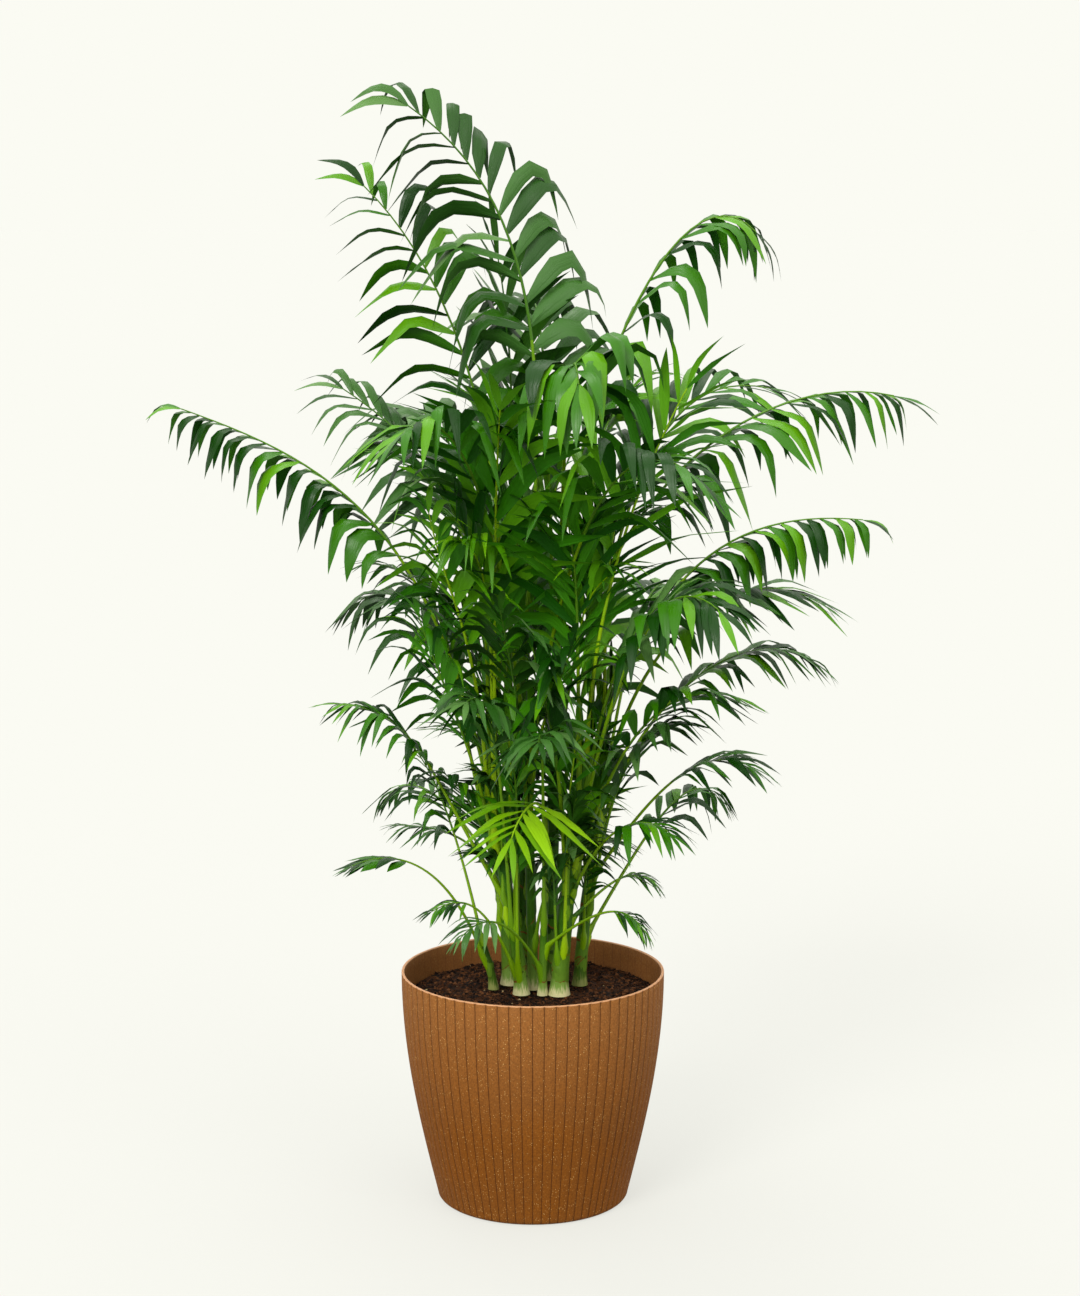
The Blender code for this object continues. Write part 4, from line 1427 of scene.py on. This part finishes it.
@dataclass
class FrondCrown:
    """The fronds: ribs and leaflets, joined by tint, and the sheaths that wrap the canes.

    finer multiplies each frond's pairs of leaflets. A leaflet has first_length of its frond's
    full one at the first pair, grows by length_gain from there and loses length_fade towards the
    tip. It is swept forward by sweep_foot at the first pair and sweep_tip at the last.
    stagger sets the two of a pair apart and stray shifts each, in spacings. girths holds a rib's
    least radius, what a leaflet of full_leaflet adds, and how much its foot swells. root_depth is
    how far under the frond's start its rib begins inside the cane. sheath_wrap holds, upwards,
    how far below the start each ring of a sheath lies, in its lengths, how wide it is, in the
    cane's radii, and how far it has moved over from the cane to the rib.
    """

    finer: float = 1.26
    stray: float = 0.16
    stagger: float = 0.14
    first_length: float = 0.78
    length_gain: float = 1.4
    length_fade: float = 0.5
    sweep_foot: float = 46.0
    sweep_tip: float = 64.0
    droop_gain: float = 1.25
    upright_droop: float = 1.9
    end_share: float = 0.5
    rib_steps: int = 26
    rib_sides: int = 8
    rib_taper: float = 0.72
    girths: tuple[float, float, float] = (0.0016, 0.0011, 0.0022)
    full_leaflet: float = 0.16
    swollen_share: float = 0.06
    sharp_angle: float = 50.0
    root_depth: float = 0.030
    sheath_sides: int = 12
    sheath_lengths: tuple[float, float] = (0.055, 0.10)
    bare_foot: float = 0.024
    slant: float = 0.009
    sheath_wrap: tuple[tuple[float, float, float], ...] = (
        (1.0, 1.03, 0.0),
        (0.97, 1.09, 0.0),
        (0.6, 1.10, 0.02),
        (0.3, 1.0, 0.14),
        (0.12, 0.74, 0.5),
        (0.0, 0.42, 0.95),
        (-0.14, 0.26, 1.0),
    )

    def __post_init__(self) -> None:
        """Starts the heaps that the leaflets and ribs are dealt to."""
        self.shape = LeafletShape()
        self.leaflets = {tint: Heap() for tint in Tint}
        self.ribs = {tint: Heap() for tint in Tint}
        self.sheaths = Heap()
        self.canes = {cane.name: cane for cane in CANES}

    def grow(self, frond: Frond) -> None:
        """Grows one frond into the heaps of its tint.

        Args:
            frond: The frond's sizes.
        """
        rng = random.Random(frond.name)
        rib = Rib(frond, self.canes[frond.cane])
        self.grow_rib(frond, rib)
        if not rib.on_top:
            self.grow_sheath(frond, rib, rng)
        pairs = round(frond.pairs * self.finer)
        spacing = (1.0 - frond.bare) / (pairs + 0.3)
        for index in range(pairs):
            for side in (-1, 1):
                shift = 0.5 + rng.uniform(-self.stray, self.stray) + self.stagger * side
                share = frond.bare + spacing * (index + shift)
                self.grow_leaflet(frond, rib, min(share, 0.995), side, rng)
        for side in (-1, 1):
            self.grow_end(frond, rib, side, rng)

    def grow_leaflet(self, frond: Frond, rib: Rib, share: float, side: int, rng: random.Random) -> None:
        """Grows one leaflet of a pair.

        Args:
            frond: The frond's sizes.
            rib: Its rib.
            share: Where it stands on the rib.
            side: 1 on the right and -1 on the left.
            rng: The seeded source of chance.
        """
        leafy = (share - frond.bare) / (1.0 - frond.bare)
        along, right, outward = rib.axes(share)
        sweep = frond.sweep + self.sweep_foot + (self.sweep_tip - self.sweep_foot) * leafy
        sweep = math.radians(sweep + rng.uniform(-7, 7))
        lift = math.radians(frond.lift + rng.uniform(-7, 7))
        level = right * side * math.cos(sweep) + along * math.sin(sweep)
        start = level * math.cos(lift) + outward * math.sin(lift)
        across = along * side
        across = (across - start * across.dot(start)).normalized()
        grown = min(1.0, self.first_length + self.length_gain * leafy)
        reach = grown * (1.0 - self.length_fade * leafy**2)
        length = frond.leaflet * reach * rng.uniform(0.92, 1.08)
        droop = self.droop(frond, start)
        growth = Growth(
            foot=rib.place(share) + right * side * self.girth(frond, share) * 0.6,
            start=start,
            across=across,
            length=length,
            width=length * frond.breadth * rng.uniform(0.85, 1.25),
            droop=math.radians(droop * rng.uniform(0.72, 1.28)),
            fold=math.radians(rng.uniform(12, 30)),
            twist=math.radians(rng.uniform(-28, 28)),
            curl=rng.uniform(-0.12, 0.16),
            hinge=rng.uniform(0.02, 0.22) + 0.25 * max(0.0, start.z),
            snap=rng.uniform(0.3, 0.6),
            level=(1.0 - abs(start.z)) * rng.uniform(0.45, 0.95),
            shade=rng.choice((0, 0, 1, 1, 2)),
        )
        points, places = self.shape.points(growth, rng)
        self.leaflets[frond.tint].add(points, self.shape.faces, self.shape.shades(growth.shade), places)

    def grow_end(self, frond: Frond, rib: Rib, side: int, rng: random.Random) -> None:
        """Grows one of the two leaflets that end the frond.

        Args:
            frond: The frond's sizes.
            rib: Its rib.
            side: 1 on the right and -1 on the left.
            rng: The seeded source of chance.
        """
        along, right, _ = rib.axes(1.0)
        spread = math.radians(rng.uniform(10, 18))
        start = (along * math.cos(spread) + right * side * math.sin(spread)).normalized()
        across = -right
        across = (across - start * across.dot(start)).normalized()
        length = frond.leaflet * self.end_share * rng.uniform(0.9, 1.05)
        droop = self.droop(frond, start)
        growth = Growth(
            foot=rib.place(1.0),
            start=start,
            across=across,
            length=length,
            width=length * frond.breadth * 1.1,
            droop=math.radians(droop * rng.uniform(0.4, 0.7)),
            fold=math.radians(14),
            twist=math.radians(rng.uniform(-15, 15)),
            curl=0.05 * side,
            hinge=0.1,
            snap=0.7,
            level=0.2,
            shade=rng.choice((0, 1, 2)),
        )
        points, places = self.shape.points(growth, rng)
        self.leaflets[frond.tint].add(points, self.shape.faces, self.shape.shades(growth.shade), places)

    def droop(self, frond: Frond, start: Vector) -> float:
        """How far a leaflet that starts this way bends, in degrees: further where it is upright."""
        return frond.droop * self.droop_gain * (1.0 + self.upright_droop * max(0.0, start.z))

    def girth(self, frond: Frond, share: float) -> float:
        """Works out the rib's radius: thicker under long leaflets and swollen at its foot.

        Args:
            frond: The frond's sizes.
            share: The share of the rib.

        Returns:
            The radius there.
        """
        least, gain, swell = self.girths
        thick = least + gain * min(1.0, frond.leaflet / self.full_leaflet)
        swollen = swell * max(0.0, 1.0 - share / self.swollen_share) ** 2
        return thick * (1.0 - self.rib_taper * share) + swollen

    def grow_rib(self, frond: Frond, rib: Rib) -> None:
        """Draws the rib from inside its cane to its tip.

        Args:
            frond: The frond's sizes.
            rib: Its curve.
        """
        cane = self.canes[frond.cane]
        low = cane.point(frond.attach - self.root_depth)
        path, radii = [low], [cane.radius(low.z) * 0.45]
        for step in range(self.rib_steps + 1):
            share = step / self.rib_steps
            path.append(rib.place(share))
            radii.append(self.girth(frond, share))
        points, places = tube_points(path, radii, self.rib_sides)
        faces = tube_faces(len(path), self.rib_sides)
        leafy = (len(path) - self.rib_steps - 1) + int(self.rib_steps * frond.bare * 1.1)
        shades = [0] + [0 if index // self.rib_sides < leafy else 1 for index in range(len(faces) - 2)] + [1]
        self.ribs[frond.tint].add(points, faces, shades, places)

    def grow_sheath(self, frond: Frond, rib: Rib, rng: random.Random) -> None:
        """Wraps the frond's foot round its cane, narrowing upwards into the rib.

        Args:
            frond: The frond's sizes.
            rib: Its curve.
            rng: The seeded source of chance.
        """
        cane = self.canes[frond.cane]
        room = frond.attach - Cane.FOOT_HEIGHT - self.bare_foot
        length = min(rng.uniform(*self.sheath_lengths), room)
        path, radii = [], []
        for below, wrap, shift in self.sheath_wrap:
            height = frond.attach - length * below
            onward = rib.place(max(0.0, -below) * length / rib.length)
            middle = cane.point(height).lerp(onward, shift)
            path.append(middle)
            radii.append(cane.radius(min(height, frond.attach)) * wrap)
        points, places = tube_points(path, radii, self.sheath_sides)
        turn = rng.uniform(0.0, math.tau)
        for index in range(2 * self.sheath_sides):
            angle = math.tau * index / self.sheath_sides + turn
            points[index][2] += self.slant * math.cos(angle)
        faces = tube_faces(len(path), self.sheath_sides)
        shades = [1] * (1 + self.sheath_sides) + [0] * (len(faces) - 1 - self.sheath_sides)
        self.sheaths.add(points, faces, shades, places)

    def build(self) -> dict[str, bpy.types.Object]:
        """Grows every frond and joins the heaps.

        Returns:
            The leaflet and rib pieces by name.
        """
        for frond in (*FRONDS, *InnerFronds().deal(), *LOW_FRONDS.deal()):
            self.grow(frond)
        made = {}
        for tint in Tint:
            finish = LEAF_FINISHES[tint]
            kinds = (("leaflets", self.leaflets, finish.leaflets()), ("ribs", self.ribs, finish.ribs()))
            for kind, heaps, materials in kinds:
                name = f"{kind}_{tint.name.lower()}"
                made[name] = heaps[tint].piece(name, materials, self.sharp_angle)
        return made


@dataclass(frozen=True)
class FrondFinish:
    """The finishes of the fronds of one tint."""

    name: str
    blades: tuple[Colour, Colour, Colour]
    # The undersides' tones: paler, as undersides are, and lighter still as painted light let through the leaf
    unders: tuple[Colour, Colour]
    petiole: Colour
    rachis: Colour
    roughness: float
    under_roughness: float = 0.5

    def leaflets(self) -> list[bpy.types.Material]:
        """Makes the leaflets' materials.

        Returns:
            Three blades and two undersides.
        """
        made = []
        for index, shade in enumerate(self.blades):
            made.append(SatinSkin(f"{self.name}_blade_{index}", shade, self.roughness).make())
        for index, shade in enumerate(self.unders):
            made.append(SatinSkin(f"{self.name}_under_{index}", shade, self.under_roughness).make())
        return made

    def ribs(self) -> list[bpy.types.Material]:
        """Makes the ribs' materials.

        Returns:
            The bare petiole's and the leafy rachis's.
        """
        petiole = SatinSkin(f"{self.name}_petiole", self.petiole, 0.38, lines=6.0, relief=0.0003)
        rachis = SatinSkin(f"{self.name}_rachis", self.rachis, 0.42, lines=6.0, relief=0.0002)
        return [petiole.make(), rachis.make()]


LEAF_FINISHES = {
    Tint.DEEP: FrondFinish(
        "deep",
        # Partly painted sheen: the deep blades are greyed and lightened as if by the pale sheen of light on
        # them
        (tone(62, 104, 44), tone(40, 78, 26), tone(88, 128, 66)),
        (tone(54, 104, 22), tone(36, 78, 16)),
        tone(104, 148, 24),
        tone(72, 116, 34),
        0.34,
    ),
    Tint.GREEN: FrondFinish(
        "green",
        (tone(52, 108, 8), tone(22, 62, 4), tone(84, 142, 16)),
        (tone(64, 134, 14), tone(32, 90, 8)),
        tone(118, 160, 14),
        tone(84, 130, 26),
        0.34,
    ),
    Tint.BRIGHT: FrondFinish(
        "bright",
        (tone(70, 128, 8), tone(44, 98, 6), tone(98, 154, 16)),
        (tone(96, 166, 20), tone(56, 126, 12)),
        tone(150, 190, 20),
        tone(140, 184, 20),
        0.34,
    ),
    Tint.LIME: FrondFinish(
        "lime",
        (tone(116, 166, 16), tone(98, 150, 14), tone(132, 180, 24)),
        (tone(124, 172, 20), tone(104, 156, 16)),
        tone(120, 160, 40),
        tone(140, 184, 30),
        0.42,
    ),
}


@dataclass
class CaneClump:
    """The canes: jointed stems with the sheaths of their fronds round them.

    front names the canes that stand in the light, in paler tones; the others are given darker tones, painted
    shade.
    """

    sides: int = 20
    foot_rings: tuple[float, ...] = (0.0, 0.004, 0.010, 0.018)
    joint_spacing: float = 0.042
    joint_swell: float = 1.10
    joint_half: float = 0.0014
    bare_tip: float = 0.012
    smooth_angle: float = 60.0
    sharp_angle: float = 50.0
    front: tuple[str, ...] = ("left", "pale", "young", "stout", "slim")
    pale_tones: tuple[Colour, ...] = (tone(206, 200, 150), tone(118, 150, 66), tone(64, 106, 24))
    # Painted shade: darker copies of the tones for the canes that stand behind
    dark_tones: tuple[Colour, ...] = (tone(134, 140, 80), tone(70, 100, 28), tone(30, 62, 12))

    def finish_sheaths(self, sheaths: Heap) -> bpy.types.Object:
        """Joins the sheaths that wrap the canes.

        Args:
            sheaths: Their shapes.

        Returns:
            The finished sheaths.
        """
        tones = (tone(190, 196, 130), tone(108, 144, 50), tone(60, 104, 20))
        skin = StemSkin("sheath", *tones, green_height=0.07)
        edge = SatinSkin("sheath_edge", tone(120, 80, 34), roughness=0.6)
        return sheaths.piece("sheaths", (skin.make(), edge.make()), self.sharp_angle)

    def build_stem(self, cane: Cane) -> bpy.types.Object:
        """Draws one cane up ring by ring, with a raised ring at each joint.

        Args:
            cane: The cane's sizes.

        Returns:
            The finished stem.
        """
        rings = self.rings(cane)
        height, radius = rings[0]
        stem = Bench.circle(f"stem_{cane.name}", radius, 0.0, self.sides, filled=True)
        centre = cane.point(height)
        bpy.ops.transform.translate(value=centre)
        for next_height, next_radius in rings[1:]:
            next_centre = cane.point(next_height)
            Bench.draw(next_centre - centre, next_centre, next_radius / radius)
            centre, radius = next_centre, next_radius
        Bench.close(stem, self.smooth_angle)
        return stem

    def rings(self, cane: Cane) -> list[tuple[float, float]]:
        """Lists the rings of a cane.

        Args:
            cane: The cane's sizes.

        Returns:
            Each ring's height and radius, upwards.
        """
        foot = Cane.FOOT_HEIGHT
        rings = [(foot + height, cane.radius(foot + height)) for height in self.foot_rings]
        joint = foot + self.joint_spacing * 0.8
        while joint < cane.tip[2] - self.bare_tip:
            smooth = cane.radius(joint)
            rings.append((joint - self.joint_half * 3.0, smooth * 0.99))
            rings.append((joint - self.joint_half, smooth * self.joint_swell))
            rings.append((joint + self.joint_half, smooth * self.joint_swell))
            rings.append((joint + self.joint_half * 3.0, smooth * 0.97))
            joint += self.joint_spacing
        rings.append((cane.tip[2] - 0.001, cane.radius(cane.tip[2])))
        return rings

    def dress(self, stem: bpy.types.Object) -> None:
        """Gives a stem its skin, in darker tones of painted shade unless it stands in front."""
        tones = self.pale_tones if stem.name.removeprefix("stem_") in self.front else self.dark_tones
        stem.data.materials.append(StemSkin(stem.name, *tones).make())


@dataclass
class Studio:
    """The plain floor, the soft light and the camera.

    The sky brightens from low_sky to high_sky between the two heights, as sines of an angle.
    Each sun is its name, what it adds to the floor's brightness, its height, its angle to the
    left of the viewer's side and how broad it looks. floor_share is how much of the floor's
    brightness its lights give, and so how dark a shadow on it gets.
    """

    eye: Vector = field(default_factory=lambda: Vector((0.0082, -3.0, 1.117)))
    pitch: float = 9.08
    focal_pixels: float = 2709.0
    frame_height: float = 1296.0
    sensor: float = 36.0
    floor_size: float = 400.0
    white: Colour = (0.965, 0.965, 0.896, 1.0)
    sky_start: float = -0.3
    sky_end: float = 0.9
    low_sky: float = 0.36
    high_sky: float = 1.45
    sky_steps: int = 200
    floor_share: float = 0.34
    floor_drop: float = 0.0005
    suns: tuple[tuple[str, float, float, float, float], ...] = (
        ("key", 0.38, 36.0, 28.0, 24.0),
        ("top", 0.20, 70.0, 165.0, 30.0),
        ("side", 0.10, 34.0, -40.0, 40.0),
    )

    def build(self) -> None:
        """Lays the floor, hangs the lights and sets up the camera."""
        bpy.context.scene.view_settings.view_transform = "Standard"
        self.lay_floor()
        self.light_world()
        for sun in self.suns:
            self.hang_sun(*sun)
        self.place_camera()

    def lay_floor(self) -> None:
        """Lays a large level floor under the pot."""
        Bench.clear()
        bpy.ops.mesh.primitive_plane_add(size=self.floor_size, location=-UP * self.floor_drop)
        floor = bpy.context.active_object
        floor.name = "floor"
        heights = [(step + 0.5) / self.sky_steps for step in range(self.sky_steps)]
        light = sum(2.0 * height * self.sky(height) for height in heights) / self.sky_steps
        light += sum(sun[1] for sun in self.suns)
        finish = PaleFloor("floor", self.floor_share / light, self.white, 1.0 - self.floor_share)
        floor.data.materials.append(finish.make())
        floor.visible_diffuse = False
        floor.visible_glossy = False

    def sky(self, height: float) -> float:
        """The brightness of the room's light from this height, as the sine of its angle."""
        share = min(1.0, max(0.0, height - self.sky_start) / (self.sky_end - self.sky_start))
        return self.low_sky + (self.high_sky - self.low_sky) * share

    def light_world(self) -> None:
        """Fills the room with pale light, brighter overhead, before a plain pale backdrop."""
        world = bpy.data.worlds.new("studio")
        world.use_nodes = True
        tree = world.node_tree
        backdrop = tree.nodes["Background"]
        backdrop.inputs["Color"].default_value = self.white
        light = tree.nodes.new("ShaderNodeBackground")
        light.inputs["Color"].default_value = self.white
        split = tree.nodes.new("ShaderNodeSeparateXYZ")
        span = tree.nodes.new("ShaderNodeMapRange")
        ends = (self.sky_start, self.sky_end, self.low_sky, self.high_sky)
        for socket, value in zip(span.inputs[1:5], ends):
            socket.default_value = value
        seen = tree.nodes.new("ShaderNodeLightPath")
        mix = tree.nodes.new("ShaderNodeMixShader")
        tree.links.new(tree.nodes.new("ShaderNodeTexCoord").outputs["Generated"], split.inputs[0])
        tree.links.new(split.outputs["Z"], span.inputs["Value"])
        tree.links.new(span.outputs["Result"], light.inputs["Strength"])
        tree.links.new(seen.outputs["Is Camera Ray"], mix.inputs[0])
        tree.links.new(light.outputs[0], mix.inputs[1])
        tree.links.new(backdrop.outputs[0], mix.inputs[2])
        tree.links.new(mix.outputs[0], tree.nodes["World Output"].inputs["Surface"])
        bpy.context.scene.world = world

    def hang_sun(self, name: str, share: float, height: float, side: float, width: float) -> None:
        """Hangs one broad soft light.

        Args:
            name: Its name.
            share: What it adds to the floor's brightness.
            height: Its height, in degrees above level.
            side: Its angle from the viewer's side of the palm, to the left.
            width: How broad it looks, in degrees.
        """
        lamp = bpy.data.lights.new(name, "SUN")
        lamp.angle = math.radians(width)
        lamp.energy = share * self.white[0] * math.pi / math.sin(math.radians(height))
        lamp.color = (1.0, 1.0, self.white[2] / self.white[0])
        hung = bpy.data.objects.new(name, lamp)
        hung.rotation_euler = (math.radians(90.0 - height), 0.0, math.radians(-side))
        bpy.context.scene.collection.objects.link(hung)

    def place_camera(self) -> None:
        """Stands the camera at the photograph's viewing angle."""
        lens = bpy.data.cameras.new("camera")
        lens.sensor_width = self.sensor
        lens.lens = self.focal_pixels * self.sensor / self.frame_height
        camera = bpy.data.objects.new("camera", lens)
        camera.location = self.eye
        camera.rotation_euler = (math.radians(90.0 - self.pitch), 0.0, 0.0)
        bpy.context.scene.collection.objects.link(camera)
        bpy.context.scene.camera = camera


def main() -> None:
    """Builds and dresses the pot, the soil, the canes and the fronds, then the studio."""
    logging.basicConfig(level=logging.INFO, format="%(name)s: %(message)s")
    pot = PleatedPot()
    shell = pot.build()
    pot.dress(shell)
    settle(shell, "pot", "pot")

    soil = PottingSoil()
    bed = soil.build_bed()
    soil.dress(bed)
    settle(bed, "soil", "soil")
    settle(soil.build_litter(), "soil")

    clump = CaneClump()
    for cane in CANES:
        stem = clump.build_stem(cane)
        clump.dress(stem)
        settle(stem, "cane", f"cane_{cane.name}")

    crown = FrondCrown()
    for name, piece in crown.build().items():
        tint = Tint[name.split("_")[1].upper()]
        nodes = [f"frond_{frond.name}" for frond in FRONDS if frond.tint is tint]
        settle(piece, tint.value, *(nodes if name.startswith("leaflets") else ()))

    settle(clump.finish_sheaths(crown.sheaths), "cane")

    Studio().build()


if __name__ == "__main__":
    main()
